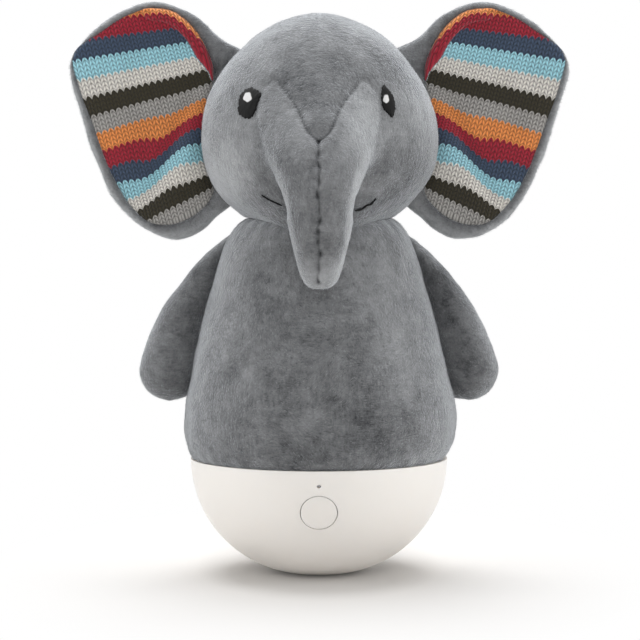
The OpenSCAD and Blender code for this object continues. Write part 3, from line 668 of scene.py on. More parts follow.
def body_outside(rows, cols):
    """The outer face of the cover, a little fuller low on the right. Gathers near the hem and the neck are waves
    round the body whose height falls off along it, and the hem tucks in."""
    z = np.linspace(hem[1], neck[1], rows)
    outer = body_rows(z, cols) + finer(swollen, rows, cols)
    full = (np.exp(-((z - 56.0) / 15.0) ** 2) * ease(z, 43.0, 50.0))[:, None] * ease(outer[..., 0], 12.0, 46.0)
    outer[..., 0] += 1.8 * full
    out = unit(outer * [1, 1, 0])
    angle = np.arctan2(outer[..., 1], outer[..., 0])
    near = np.exp(-(z - hem[1]) / 5.0)[:, None]
    gather = near * (0.22 * np.sin(angle * 37 + 1.3 * np.sin(angle * 5)) + 0.18 * np.sin(angle * 23 + 2.0))
    tuck = -1.5 * np.exp(-(z - hem[1]) / 1.4)[:, None]
    neck_pull = 0.4 * np.sin(angle * 26 + np.sin(angle * 3)) * np.exp(-(neck[1] - z) / 4.0)[:, None]
    back = np.exp(-(outer[..., 0] / 1.3) ** 2) * (outer[..., 1] > 0)
    push = gather + tuck + neck_pull - 0.5 * back + 0.45 * lumps(outer, 34.0, 3) + 0.14 * lumps(outer, 11.0, 4)
    return outer + out * push[..., None]


body_levels, body_cols, cloth_t = 200, 300, 1.5
body_face = body_outside(body_levels, body_cols)
inner_face = (body_face - unit(body_face * [1, 1, 0]) * cloth_t)[:-3:14]
print("body face", body_face.shape)

# %% Body cover
body = closed_grid("plush_body", np.concatenate([
    body_face[-1:] * [0, 0, 1], body_face[-1:] * [0.6, 0.6, 1], body_face[::-1],
    inner_face, inner_face[-1:] * [0, 0, 1]]))
p = get_points(body)
# painted light and shade in soft patches seen from the front, partly how the pile lies: lighter high on the right,
# darker low on the belly
mark(body, "nap", shades(p, (0.3, 30.0, 84.0, 9.0, 26.0), (-0.36, 0.0, 48.0, 28.0, 24.0), (-0.4, 12.0, 60.0, 9.0, 8.0),
                         (0.2, -10.0, 60.0, 7.0, 7.0), (-0.28, -32.0, 48.0, 9.0, 8.0)))
back = np.exp(-(p[:, 0] / 0.7) ** 2) * (p[:, 1] > 0) * (0.25 + 0.25 * np.cos(p[:, 2] * 2 * np.pi / 3.4))
# painted shadow: a near-black line along the hem where the cover tucks under the rim; the back seam's stitches are
# real
mark(body, "seam", 0.8 * np.exp(-np.maximum(p[:, 2] - hem[1] - 0.1, 0) / 0.45) + back)
dress(body, plush, "plush", "body_cover")
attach(body, "lamp")
showing = np.zeros(len(p), bool)
showing[1:1 + (body_levels + 1) * body_cols] = True
showing &= p[:, 2] > hem[1] + 0.8
low = 1 - ease(p[:, 2], 78.0, 108.0)
around = unit(np.stack([-p[:, 1], p[:, 0], 0 * low], -1)) * low[:, None]
combed = around + [0, 0, -1] * (1 - low)[:, None]
body_pile = pile("pile_body", body, count=48000, long=1.7, seed=31, keep=showing, combed=combed, spread=0.45)
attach(body_pile, "lamp")
print("body", len(body.data.polygons), "faces and", len(body_pile.data.polygons) // 4, "tufts")

# %% [markdown]
# ## The head and the trunk
# The head is an egg on its side: wide cheeks, a higher crown, and a chin that sinks over the front of the neck.
# The trunk grows out of the face as a wide muzzle, narrows, and hangs in front of the chest. Both forms are
# rings of ovals, joined into one skin by a voxel remesh. Where they meet, the skin is relaxed, so that the forehead
# runs into the muzzle without a step. The skin is swelled with its seams pinned, and subdivided. Then the seams
# are drawn in: a V between the eyes, the outer edges of the muzzle's two panels, one gathered seam down the trunk and
# one down the back.

# %% Head and trunk forms
cheek_z, head_y, head_w, head_d, crown_h, jaw_h = 157.211, -2.0, 43.6, 40.0, 48.9, 33.0


def face_depth(x, z):
    """y of the face: the front half of an ellipsoid with a taller upper half."""
    h = np.where(z < cheek_z, jaw_h, crown_h)
    return head_y - head_d * np.sqrt(np.maximum(1 - ((z - cheek_z) / h) ** 2 - (x / head_w) ** 2, 0))


def head_rings(rows, cols):
    """Ovals of an ellipsoid whose lower half is flatter, from the neck up to the crown. The chin is drawn down in
    front."""
    low = np.arcsin((131.3 - cheek_z) / jaw_h)
    a = np.linspace(low, np.pi / 2, rows)[:, None]
    b = (np.arange(cols) * 2 * np.pi / cols)[None]
    z = cheek_z + np.where(a < 0, jaw_h, crown_h) * np.sin(a)
    x, y, z = np.broadcast_arrays(head_w * np.cos(a) * np.cos(b), head_y + head_d * np.cos(a) * np.sin(b), z)
    chin = ease(-y, 4.0, 27.0) * np.exp(-(x / 19.0) ** 2) * (1 - ease(z, 133.0, 147.0))
    ovals = np.stack([x, y - 1.2 * chin, z - 6.5 * chin], -1)
    return np.concatenate([ovals[:1] * [0, 0, 1], ovals])


trunk_levels = smooth_through([  # height, half width, front, half depth, shift to the right
    [187.0, 12.0, -33.5, 15.0, 0.0], [181.0, 18.5, -38.6, 18.0, 0.0], [175.0, 21.6, -42.8, 19.0, 0.0],
    [170.0, 22.8, -46.6, 19.5, 0.0], [165.0, 23.0, -50.4, 20.0, 0.0], [160.0, 22.2, -54.2, 20.0, 0.0],
    [155.5, 20.6, -57.6, 19.4, 0.0], [151.0, 18.2, -60.2, 18.0, 0.0], [146.5, 15.3, -61.9, 16.0, 0.2],
    [142.0, 13.5, -62.8, 14.2, 0.4], [136.7, 12.2, -63.0, 12.6, 0.4], [128.2, 11.1, -62.0, 10.9, 0.5],
    [119.4, 9.3, -59.8, 8.9, 0.3], [111.6, 7.0, -57.4, 6.9, 0.4], [108.9, 5.5, -56.1, 5.6, 0.2],
    [107.3, 4.5, -54.8, 4.0, 0.2]], 6)


def trunk_rings(cols):
    """Level ovals: at each height a half width, a front, a half depth and a shift sideways."""
    z, half_w, front, half_d, shift = (q[:, None] for q in trunk_levels.T)
    a = (np.arange(cols) * 2 * np.pi / cols)[None]
    ovals = np.stack(np.broadcast_arrays(shift + half_w * np.cos(a), front + half_d + half_d * np.sin(a), z), -1)
    return capped(ovals)


skull = closed_grid("plush_head", head_rings(rows=60, cols=120))
snout = closed_grid("snout", trunk_rings(cols=64))
print("head and trunk rings", len(skull.data.vertices), len(snout.data.vertices))

# %% One skin
def join_and_remesh(first, second, voxel):
    """Joins two closed pieces and rebuilds their union as one skin of even squares."""
    bpy.ops.object.select_all(action="DESELECT")
    first.select_set(True)
    second.select_set(True)
    bpy.context.view_layer.objects.active = first
    bpy.ops.object.join()
    first.data.uv_layers.remove(first.data.uv_layers[0])
    remesh = first.modifiers.new("skin", "REMESH")
    remesh.mode, remesh.voxel_size, remesh.adaptivity = "VOXEL", voxel * MM, 0.0
    soften = first.modifiers.new("soften", "SMOOTH")
    soften.factor, soften.iterations = 0.5, 12
    made = bpy.data.meshes.new_from_object(first.evaluated_get(bpy.context.evaluated_depsgraph_get()))
    first.modifiers.clear()
    first.data = made
    return first


head = join_and_remesh(skull, snout, voxel=1.35)
p = get_points(head)
round_root = np.exp(-((np.hypot(p[:, 0] / 22.0, (p[:, 2] - 166.0) / 20.0) - 1.0) / 0.38) ** 2)
in_front = ease(-p[:, 1], 20.0, 30.0) * ease(p[:, 2], 148.0, 163.0)
relax(head, weight=0.65 * round_root * in_front, rounds=66)
print("head skin", len(p), "points")

# %% Seams on the head
v_line = smooth_through([[0.0, 159.5], [4.2, 163.3], [8.6, 172.5], [15.4, 181.4]], 10)
lobe_line = smooth_through([[15.0, 147.8], [18.4, 151.5], [20.6, 157.5], [22.2, 166.0], [22.4, 172.0], [20.2, 177.6],
                            [15.4, 181.4]], 10)


def seam_distance(p):
    """Distances in mm, seen from the front: to the V between the eyes, to the middle line of the trunk and to the
    outer edge of the muzzle's two panels."""
    v, lobe = (np.hypot(np.abs(p[:, :1]) - way[None, :, 0], p[:, 2:] - way[None, :, 1]).min(1)
               for way in (v_line, lobe_line))
    wander = 0.3 * np.sin(p[:, 2] / 2.3) + 0.2 * np.sin(p[:, 2] / 0.95 + 1)
    middle = np.hypot(p[:, 0] - wander, np.maximum(p[:, 2] - 160.0, 0) + np.maximum(109.5 - p[:, 2], 0))
    front = p[:, 1] < -25
    return np.where(front, v, 99.0), np.where(p[:, 1] < -48, middle, 99.0), np.where(front, lobe, 99.0)


p = get_points(head)
v_gap, mid_gap, lobe_gap = seam_distance(p)
sewn_down = (v_gap < 0.8) | (mid_gap < 0.8) | (p[:, 2] < 132.2)
moved = swell(head, pressure=75.0, slim=0.8, cap=1.5, pinned=sewn_down, mass=0.12)
divide = head.modifiers.new("finer", "SUBSURF")
divide.levels = divide.render_levels = 1
head.data = bpy.data.meshes.new_from_object(head.evaluated_get(bpy.context.evaluated_depsgraph_get()))
head.modifiers.clear()
head.data.polygons.foreach_set("use_smooth", np.ones(len(head.data.polygons), bool))
print("head swells by", round(moved, 2), "mm on average, and has", len(head.data.polygons), "faces")

# %% Draw the seams in
p, n = get_points(head), get_normals(head)
x, y, z = p.T
v_gap, mid_gap, lobe_gap = seam_distance(p)
v_on = 1 - ease(z, 177.0, 183.0)
stitch = (0.5 + 0.5 * np.cos(z * 2 * np.pi / 4.4 + 1.6 * np.sin(z / 5.1))) * (0.75 + 0.25 * np.sin(z / 1.7))
push = (-0.55 * v_on * np.exp(-(v_gap / 0.9) ** 2) - 0.7 * np.exp(-(mid_gap / 1.1) ** 2)
        - 0.5 * np.exp(-(lobe_gap / 1.4) ** 2) - 0.5 * (y > 8) * np.exp(-(x / 1.3) ** 2)
        - 0.45 * stitch * np.exp(-(mid_gap / 3.2) ** 2) + 0.4 * lumps(p, 30.0, 7) + 0.12 * lumps(p, 9.0, 8))
set_points(head, p + n * push[:, None])
panel_seams = 0.85 * v_on * np.exp(-(v_gap / 0.55) ** 2) + 0.15 * np.exp(-(lobe_gap / 0.7) ** 2)
trunk_seam = np.exp(-(mid_gap / (0.5 + 0.35 * stitch)) ** 2) * (0.5 + 0.5 * stitch)
back_seam = (y > 8) * np.exp(-(x / 0.6) ** 2) * 0.5 * stitch
mark(head, "seam", panel_seams + trunk_seam + back_seam)
print("seams draw the skin in by up to", round(float(-push.min()), 2), "mm")

# %% Painted light and shade, and panels cut the other way
wedge = ease(z - np.interp(np.abs(x), v_line[:, 0], v_line[:, 1]), -0.4, 1.2) * (y < -25)
wedge *= (1 - ease(np.abs(x), 13.0, 17.0)) * (1 - ease(z, 178.0, 196.0))
panel = 1 - ease(np.abs(x) - np.interp(z, lobe_line[:, 1], lobe_line[:, 0]), -0.6, 0.8)
panel *= (1 - wedge) * (y < -25)
# painted sheen on the trunk: its sides lighter, most on the right, its middle darker and its tip lighter
across = x / np.interp(z, trunk_levels[::-1, 0], trunk_levels[::-1, 1])
edge, right = ease(np.abs(across), 0.72, 0.97), x > 0
trunk_painted_sheen = np.where(right, 1.1, 0.4) * edge - np.where(right, 0.15, 0.42) * (1 - edge)
trunk_painted_sheen += 0.75 * (1 - ease(z, 109.0, 122.0))
trunk_painted_sheen *= (1 - ease(z, 150.0, 160.0)) * (y < -44)
# painted shade on the lower face beside and behind the trunk, under the chin
jaw_painted_shade = (1 - ease(z, 137.0, 147.0)) * (1 - ease(np.abs(x), 26.0, 36.0)) * (y > -45) * (y < 0)
# patches of painted light and shade, partly how each panel's pile lies: lighter on the left cheek and the right half
# of the muzzle, darker high and low on the right of the head, just left of the muzzle's root, and on the forehead
# between the V
panel_nap_and_light = shades(p, (0.8, 15.5, 165.0, 6.5, 16.0), (0.1, -15.5, 165.0, 6.0, 13.0))
side_nap_and_light = shades(p, (0.75, -33.0, 152.0, 11.0, 16.0), (0.5, 35.0, 169.0, 11.0, 8.0), (-0.7, 30.0, 188.0, 12.0, 9.0),
                  (-0.2, -30.0, 188.0, 12.0, 9.0), (-0.6, 30.0, 146.0, 11.0, 10.0))
nap = 0.1 + panel * panel_nap_and_light + (1 - panel) * side_nap_and_light + trunk_painted_sheen - 0.3 * wedge - 0.3 * jaw_painted_shade
mark(head, "nap", nap + shades(p, (-0.4, -18.0, 153.0, 6.0, 8.0)))
print("pile of the head is lighter by", round(float(nap.min()), 2), "to", round(float(nap.max()), 2))

# %% Head cover
dress(head, plush, "plush", "head_cover", "trunk")
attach(head, "lamp")
showing = ((z > 127.0) | (y < -42)) & (v_gap > 0.8) & (mid_gap > 0.8)
high = ease(z, 168.0, 184.0)
around = unit(np.stack([-y, x, 0 * high], -1)) * (high * np.where(x < 0, -1, 1))[:, None]
combed = around + [0, 0, -0.9] * (1 - high)[:, None]
head_pile = pile("pile_head", head, count=48000, long=1.6, seed=41, keep=showing, combed=combed)
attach(head_pile, "lamp")
print("head", len(head.data.polygons), "faces and", len(head_pile.data.polygons) // 4, "tufts")

# %% [markdown]
# ## The arms
# An arm is a flat paddle stuffed less than the body: thin at its seam on the shoulder, widest near the hand,
# and rounded at the end. It hangs flat against the body's side, so its inner face takes the body's own form. Its seam
# is a hinge.

# %% Arm form
arm_outside = smooth_through([  # height, distance from the middle
    [125.6, 32.2], [123.4, 34.9], [120.5, 38.5], [117.2, 42.3], [111.3, 47.5], [105.4, 52.3], [99.4, 56.4],
    [93.5, 59.7], [87.6, 62.7], [81.6, 65.3], [75.7, 67.0], [70.0, 65.6], [66.0, 62.4], [63.4, 57.6]], 6)
arm_reach = smooth_through([  # height, half depth
    [125.6, 0.8], [123.4, 2.6], [120.5, 4.6], [117.2, 6.4], [105.4, 9.0], [90.0, 10.8], [77.0, 11.4],
    [70.0, 10.2], [66.0, 7.4], [63.4, 3.5]], 6)
arm_cols = 96


def body_surface(angle, z):
    """Radius of the body cover's outer face in a direction and at a height, read from its own grid."""
    rows, cols = body_face.shape[:2]
    row = np.clip(np.rint((z - hem[1]) / (neck[1] - hem[1]) * (rows - 1)).astype(int), 0, rows - 1)
    own = np.arctan2(body_face[0, :, 1], body_face[0, :, 0]) % (2 * np.pi)
    col = np.argmin(np.abs((angle[..., None] - own + np.pi) % (2 * np.pi) - np.pi), -1)
    return np.hypot(body_face[row, col, 0], body_face[row, col, 1])


def arm_form(side):
    """Ovals down the arm between the body's side line and the outer line. Points inside the body are moved out to
    its surface, in their own direction from its axis."""
    z, outside = arm_outside[:, :1], arm_outside[:, 1:]
    inside = body_radius(z) - 2.0
    hand_rows, hand_w = 12, 4.0
    inside[-hand_rows:] += np.linspace(0, 1, hand_rows)[:, None] ** 2 * (outside[-1] - hand_w - inside[-1])
    deep = np.interp(z, arm_reach[::-1, 0], arm_reach[::-1, 1])
    a = (np.arange(arm_cols) * 2 * np.pi / arm_cols)[None]
    x = (inside + outside) / 2 + (outside - inside) / 2 * np.cos(a)
    y = 1.5 + deep * np.sin(a)
    z = z + 0 * x
    angle, r = np.arctan2(y, side * x), np.hypot(x, y)
    r = np.maximum(r, body_surface(angle % (2 * np.pi), z) + 0.12)
    ovals = np.stack([r * np.cos(angle), r * np.sin(angle), z], -1)
    return capped(ovals)


print("arm spans", arm_outside.min(0), arm_outside.max(0))

# %% Arms
def make_arm(name, body_name, side):
    """One arm: its form, swelled on its outer side, with a little unevenness."""
    piece = closed_grid(name, arm_form(side))
    p = get_points(piece)
    clear = np.hypot(p[:, 0], p[:, 1]) - body_surface(np.arctan2(p[:, 1], p[:, 0]) % (2 * np.pi), p[:, 2])
    swell(piece, pressure=60.0, slim=0.5, cap=1.0, pinned=(p[:, 2] > 116) | (clear < 1.0), mass=0.12)
    p, n = get_points(piece), get_normals(piece)
    loose = ease(clear, 0.3, 2.5)
    set_points(piece, p + n * (loose * (0.35 * lumps(p, 20.0, 11 + side) + 0.12 * lumps(p, 8.0, 13)))[:, None])
    # painted shade: the arm darkens downwards from the shoulder and most where it lies close against the body, where a
    # near-black shade is added too
    mark(piece, "nap", 0.6 * ease(clear, 6.0, 22.0) + 0.5 * ease(p[:, 2], 112.0, 123.0) - 0.46)
    mark(piece, "seam", 0.45 * np.exp(-np.maximum(clear, 0) / 3.0) * (1 - ease(p[:, 2], 114.0, 122.0)))
    dress(piece, plush, "plush", body_name)
    combed = np.tile([side * 0.4, 0, -1.0], (len(p), 1))
    tufts = pile("pile_" + body_name, piece, count=15000, long=1.6, seed=50 + side, keep=clear > 0.4, combed=combed)
    for cloth in (piece, tufts):
        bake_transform(cloth)
    return piece


arms = [make_arm("plush_arm_left", "arm_left", -1), make_arm("plush_arm_right", "arm_right", 1)]
print("arms", [len(a.data.polygons) for a in arms])

# %% [markdown]
# ## The ears
# Each ear is two pieces sewn edge to edge: a plush back whose edge rolls forwards as a soft rim, and a striped
# knitted lining inside that rim. The ear stands up and out, cups forwards at its outer edge, and its lining has
# one soft diagonal fold low down and a lip folded over at the top near the head. The ear's inner edge lies in the
# head's skin.

# %% Ear outlines
ear_x, ear_y, ear_z, ear_w, ear_h, lean = 41.768, 10.0, 163.211, 52.6, 86.7, radians(6)
# the free edge in shares of the ear's width and height, from the top by the head to the bottom
ear_edge = np.array([[-0.03, 0.401], [0.169, 0.491], [0.458, 0.527], [0.715, 0.457], [0.908, 0.341], [1, 0.211],
                     [0.876, 0], [0.67, -0.267], [0.492, -0.394], [0.324, -0.452], [0.178, -0.475]])


def head_side(y, z):
    """x of the head's side at depth y and height z."""
    h = np.where(z < cheek_z, jaw_h, crown_h)
    return head_w * np.sqrt(np.maximum(1 - ((z - cheek_z) / h) ** 2 - ((y - head_y) / head_d) ** 2, 0))


free = ear_edge * [ear_w, ear_h]
free = np.stack([ear_x + free[:, 0] * np.cos(lean) - free[:, 1] * np.sin(lean),
                 ear_z + free[:, 0] * np.sin(lean) + free[:, 1] * np.cos(lean)], -1)
# the edge sewn into the head's skin, from the bottom up, and the lower corner that is tucked to the head
seam_z = np.array([137.2, 142.5, 148.0, 156.0, 165.0, 174.0, 182.5, 189.0, 192.6])
sewn = np.stack([head_side(ear_y - 0.8, seam_z) - 0.5, seam_z], -1)
foot = [[52.0, 123.2], [47.2, 124.4], [42.6, 127.0], [38.3, 131.2]]
outer_edge = smooth_ring(np.concatenate([free[:-1], [[57.4, 123.9]], foot, sewn]), 24)
lining_edge = smooth_ring([
    [62.9, 208.8], [55.6, 208.2], [50.4, 205.4], [45.6, 200.6], [42.2, 195.2], [39.9, 189.4], [39.2, 183.6],
    [41.3, 172.0], [43.0, 155.0], [39.0, 141.6], [45.4, 132.8], [55.3, 128.4], [63.0, 129.4], [67.8, 133.1],
    [72.6, 139.4], [78.4, 150.2], [84.2, 166.1], [88.2, 177.3], [91.2, 188.6], [89.0, 194.2], [82.6, 198.8],
    [72.4, 205.6]], 16)
ear_middle, ear_cols = np.array([65.0, 168.0]), 360


def reach(edge, angle):
    """Distance from the ear's middle to an outline, in each direction."""
    d = edge - ear_middle
    a, r = np.arctan2(d[:, 1], d[:, 0]), np.hypot(d[:, 0], d[:, 1])
    order = np.argsort(a)
    return np.interp(angle, a[order], r[order], period=2 * np.pi)


def cup(x):
    """How far forwards the ear bends: with the square of the distance from its seam."""
    return -6.0 * (np.maximum(x - ear_x, 0) / ear_w) ** 2


def bend_at_seam(piece):
    """Bakes the piece's placement into its points."""
    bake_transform(piece)


print("ear spans", outer_edge.min(0).round(1), outer_edge.max(0).round(1))

# %% Ear backs
def ear_back_form(side):
    """Rings that start in the middle in front, run out under the lining, roll over the rim as a half round and come
    back to the middle behind, where the stuffing bulges."""
    a = np.linspace(0, 2 * np.pi, ear_cols + 1)[:-1][None]
    r_out = reach(outer_edge, a)
    r_lin = np.minimum(reach(lining_edge, a) - 0.5, r_out - 1.1)
    wide = r_out - r_lin
    roll = 1.3 + np.minimum(2.0, 0.3 * wide)
    s = np.linspace(0, 1, 10)[:-1, None]
    under = np.stack(np.broadcast_arrays(r_lin * s, 0.4), -1)
    s = np.linspace(0, 1, 15)[:, None]
    half_round = np.maximum(1 - (2 * s - 1) ** 2, 0) ** 0.45
    rim = np.stack(np.broadcast_arrays(r_lin + wide * s, 0.4 - roll * half_round), -1)
    s = np.linspace(0, 1, 26)[1:, None]
    bulge = np.minimum(s / 0.42, 1)
    rear = np.stack(np.broadcast_arrays(r_out * (1 - s), 0.4 + 3.9 * np.sqrt(bulge * (2 - bulge))), -1)
    r, y = np.moveaxis(np.concatenate([under, rim, rear]), -1, 0)
    x, z = ear_middle[0] + r * np.cos(a), ear_middle[1] + r * np.sin(a)
    return np.stack([side * x, ear_y + y + cup(x), z], -1)


def make_ear_back(name, node, side):
    """One ear's plush back with a little unevenness."""
    piece = closed_grid(name, ear_back_form(side))
    p, n = get_points(piece), get_normals(piece)
    set_points(piece, p + n * (0.25 * lumps(p, 24.0, 21 + side) + 0.12 * lumps(p, 8.0, 23))[:, None])
    ring = (np.arange(len(p)) - 1) // ear_cols + 1
    # painted light and shade: the rim lightens towards its outer edge as painted rim light, and the back by the top of
    # the head is darker as painted shade
    painted_shade_by_head = (1 - ease(np.abs(p[:, 0]), 47.0, 60.0)) * ease(p[:, 2], 172.0, 184.0) * (ring < 24)
    mark(piece, "nap", ease(ring, 11.0, 22.0) * (1 - 0.75 * painted_shade_by_head) - 0.12 - 0.1 * painted_shade_by_head)
    mark(piece, "seam", 0.5 * np.exp(-((ring - 10.0) / 1.2) ** 2))
    dress(piece, plush, "plush", node)
    combed = np.tile([side * 0.8, 0, -0.6], (len(p), 1))
    tufts = pile("pile_" + node, piece, count=24000, long=1.5, seed=60 + side, keep=ring > 10, combed=combed)
    for cloth in (piece, tufts):
        bend_at_seam(cloth)
    return piece


ear_backs = [make_ear_back("plush_ear_left", "ear_left_back", -1),
             make_ear_back("plush_ear_right", "ear_right_back", 1)]
print("ear backs", [len(e.data.polygons) for e in ear_backs])

# %% Knit places
def fold_place(x, z):
    """Signed distance from the diagonal fold of the lining, positive on the head's side."""
    return -(x - 55.3) * 0.917 - (z - 156.0) * 0.401


def stripe_place(x, z):
    """Stripe number from the top: straight stripes 6.4 mm apart that rise towards the head, more steeply lower
    down, with an S-bend where they cross the diagonal fold."""
    d = 63.6 - x
    k = (206.2 + 0.0963 * d - z) / (6.39 - 0.0363 * d)
    c = fold_place(x, z)
    low = np.exp(-((z - 154.0) / 17.0) ** 2)
    return k + 0.5 * low * (c / 4.8) * np.exp(0.5 - 0.5 * (c / 4.8) ** 2)


def lip_place(x, z):
    """Distance in from the lining's upper edge near the head, where the lip is folded over."""
    top = lining_edge[(lining_edge[:, 0] < 61) & (lining_edge[:, 1] > 182)]
    shape = np.broadcast(x, z).shape
    q = np.stack(np.broadcast_arrays(x, z), -1).reshape(-1, 2)
    return np.hypot(q[:, :1] - top[None, :, 0], q[:, 1:] - top[None, :, 1]).min(1).reshape(shape)


print("stripe at the ear's middle", round(float(stripe_place(65.0, 168.0)), 2))

# %% Lining form
def lining_form(rows=275, cols=170):
    """Rows from bottom to top, columns from edge to edge. The sheet cups with the ear, dips along the fold,
    swells beside it, and carries the relief of its stitches: each is a rounded arch of two legs."""
    ring = np.roll(lining_edge, -int(np.argmax(lining_edge[:, 1])), 0)
    cut = int(np.argmin(ring[:, 1]))
    near_head, far_side = ring[:cut + 1][::-1], np.concatenate([ring[cut:], ring[:1]])
    z = np.linspace(ring[cut, 1] + 0.3, ring[0, 1] - 0.2, rows)
    x_in = np.interp(z, near_head[:, 1], near_head[:, 0])
    x_out = np.interp(z, far_side[:, 1], far_side[:, 0])
    x = x_in[:, None] + (x_out - x_in)[:, None] * np.linspace(0, 1, cols)[None]
    z = np.broadcast_to(z[:, None], x.shape)
    stripe, edge = stripe_place(x, z), lip_place(x, z)
    lip_wide = 4.4 * ease(z, 181.0, 192.0) + 0.6
    lip = edge < lip_wide
    lip_stripe = (edge + 0.6 - 1.5 * ease(z, 189.0, 202.0) - 1.2 * ease(z, 190.0, 206.0)) / 4.3
    stripe = np.minimum(np.where(lip, np.minimum(stripe, np.minimum(lip_stripe, 0.86)), stripe), 12.7)
    slant, stitch_w = radians(15), 2.4
    wale = (x * np.cos(slant) - (z - 168) * np.sin(slant)) / stitch_w
    course = stripe * 4
    arch = 1 - np.abs((wale % 1) * 2 - 1) ** 2
    leg = np.abs(np.sin(np.pi * ((course + 0.9 * arch) % 1))) ** 0.5 * np.abs(np.sin(2 * np.pi * wale)) ** 0.4
    rim = np.minimum(np.minimum(np.arange(rows), np.arange(rows)[::-1])[:, None] * 0.3,
                     np.minimum(np.arange(cols), np.arange(cols)[::-1])[None] * (x_out - x_in)[:, None] / cols)
    puff = 1.7 * (1 - np.exp(-rim / 4.0))
    c = fold_place(x, z)
    low_part = np.exp(-((z - 156.0) / 20.0) ** 2)
    fold = low_part * (-1.7 * np.exp(-((c + 1.0) / 2.6) ** 2) + 1.8 * np.exp(-((c - 6.5) / 4.5) ** 2))
    curl = np.where(lip, 1.9 * np.sqrt(np.clip(1 - (2 * edge / lip_wide - 1) ** 2, 0, 1)), 0)
    y = ear_y - 0.9 + cup(x) - puff - fold - curl - 0.6 * leg * np.clip(rim, 0, 1)
    return np.stack([x, y, z], -1), np.stack([wale, course], -1)


lining_grid, lining_map = lining_form()
print("lining grid", lining_grid.shape)

# %% [markdown]
# ## The knit
# The lining is plain stocking stitch: columns of V-shaped stitches 2.4 mm wide, in rows 1.6 mm high, whose yarn
# changes every four rows. The grid above already counts rows and columns, and keeps the counts as a map, so the
# finish only has to turn a count into a yarn colour and paint shade into the gaps between the stitches' legs.

# %% Knit finish
yarns = [(0.84, 0.30, 0.085), (0.37, 0.020, 0.040), (0.056, 0.085, 0.14), (0.37, 0.69, 0.79), (0.77, 0.74, 0.69),
         (0.042, 0.036, 0.021), (0.40, 0.388, 0.37)]


def knit_finish():
    """Yarn colours by rows of stitches: the row count plus an arch across each column makes the scalloped edges,
    and every four rows the next of seven colours comes. Between the legs of a stitch a painted shade darkens it."""
    finish = Finish("striped_knit")
    count = finish.node("ShaderNodeUVMap", {"uv_map": "knit"})
    wale = finish.node("ShaderNodeSeparateXYZ", {}, {0: count}, 0)
    course = finish.node("ShaderNodeSeparateXYZ", {}, {0: count}, 1)
    arch = 1 - abs(wale.part() * 2 - 1) ** 2
    row = course + arch * 0.9
    stops = [(i / 7, colour) for i, colour in enumerate(yarns)]
    yarn = ((row / 4 + 0.9) / 7).part()
    colour = finish.node("ShaderNodeValToRGB", {"stops": stops, "ramp": "CONSTANT"}, {0: yarn})
    leg = abs((row * np.pi).wave()) ** 0.5 * abs((wale * (2 * np.pi)).wave()) ** 0.4
    hair = finish.noise(finish.place(), 1500.0, 2.0)
    patch = finish.noise(finish.place(), 90.0, 2.0)
    # painted shade in the gaps between the stitches' legs, with fine and broad random tone
    shade = (leg * 1.05 + hair * 0.4 + patch * 0.3 - 0.36).most(0.0).least(1.0)
    dark = finish.mix(0.82, colour, (0.02, 0.02, 0.02, 1))
    return finish.surface(Base_Color=finish.mix(shade, dark, colour), Roughness=0.92,
                          Normal=finish.bump(0.4, 0.0003, hair + leg * 0.6),
                          Sheen_Weight=0.35, Sheen_Roughness=0.5, Specular_IOR_Level=0.15)


knit_cloth = knit_finish()
print("knit nodes", len(knit_cloth.node_tree.nodes))

# %% Linings
def make_lining(name, node, side):
    """The front grid, closed behind by strips from edge to edge."""
    g = lining_grid * [side, 1, 1]
    rows, cols = g.shape[:2]
    back = g[:, [0, -1]].copy()
    back[..., 1] = ear_y + cup(np.abs(back[..., 0])) - 0.1
    points = np.concatenate([g.reshape(-1, 3), back.reshape(-1, 3)])
    f = np.arange(rows * cols).reshape(rows, cols)
    b = rows * cols + np.arange(rows * 2).reshape(rows, 2)
    front = np.stack([f[:-1, :-1], f[:-1, 1:], f[1:, 1:], f[1:, :-1]], -1).reshape(-1, 4)
    rear = np.stack([b[:-1, 1], b[:-1, 0], b[1:, 0], b[1:, 1]], -1)
    left = np.stack([b[:-1, 0], f[:-1, 0], f[1:, 0], b[1:, 0]], -1)
    right = np.stack([f[:-1, -1], b[:-1, 1], b[1:, 1], f[1:, -1]], -1)
    bottom = np.concatenate([[b[0, 0], b[0, 1]], f[0, ::-1]])[None]
    top = np.concatenate([f[-1], [b[-1, 1], b[-1, 0]]])[None]
    faces = [front, rear, left, right, bottom, top]
    if volume(points, faces) < 0:
        faces = [q[:, ::-1] for q in faces]
    piece = build(name, points, faces)
    corners = np.concatenate([q.ravel() for q in faces])
    knit = np.concatenate([lining_map.reshape(-1, 2), lining_map[:, [0, -1]].reshape(-1, 2)])
    piece.data.uv_layers.new(name="knit").uv.foreach_set("vector", knit[corners].astype(np.float32).ravel())
    # the flat map is the front as it is seen, with the strips behind it beside that
    flat = (np.abs(points[:, [0, 2]]) - [36, 126]) / 88
    flat[rows * cols:] = flat[rows * cols:] * [0.02, 1] + [0.8, 0]
    piece.data.uv_layers.new(name="OFBake").uv.foreach_set("vector", flat[corners].astype(np.float32).ravel())
    dress(piece, knit_cloth, "knit", node)
    bend_at_seam(piece)
    return piece


linings = [make_lining("knit_lining_left", "ear_left_lining", -1),
           make_lining("knit_lining_right", "ear_right_lining", 1)]
print("linings", [len(e.data.polygons) for e in linings])

# %% [markdown]
# ## Embroidered face
# The eyes are satin stitch: rows of shiny black thread over a small pad, with a few white stitches as the light
# in the eye. The mouth is one thread line on each side of the trunk. All of it lies on the head's skin, so the
# skin's points near each place are averaged first, to know where it is and which way it faces.

# %% Find the skin
skin_points, skin_ways = get_points(head), get_normals(head)
on_face = np.abs(skin_points[:, 1] - face_depth(skin_points[:, 0], skin_points[:, 2])) < 4.0
skin_points, skin_ways = skin_points[on_face], skin_ways[on_face]


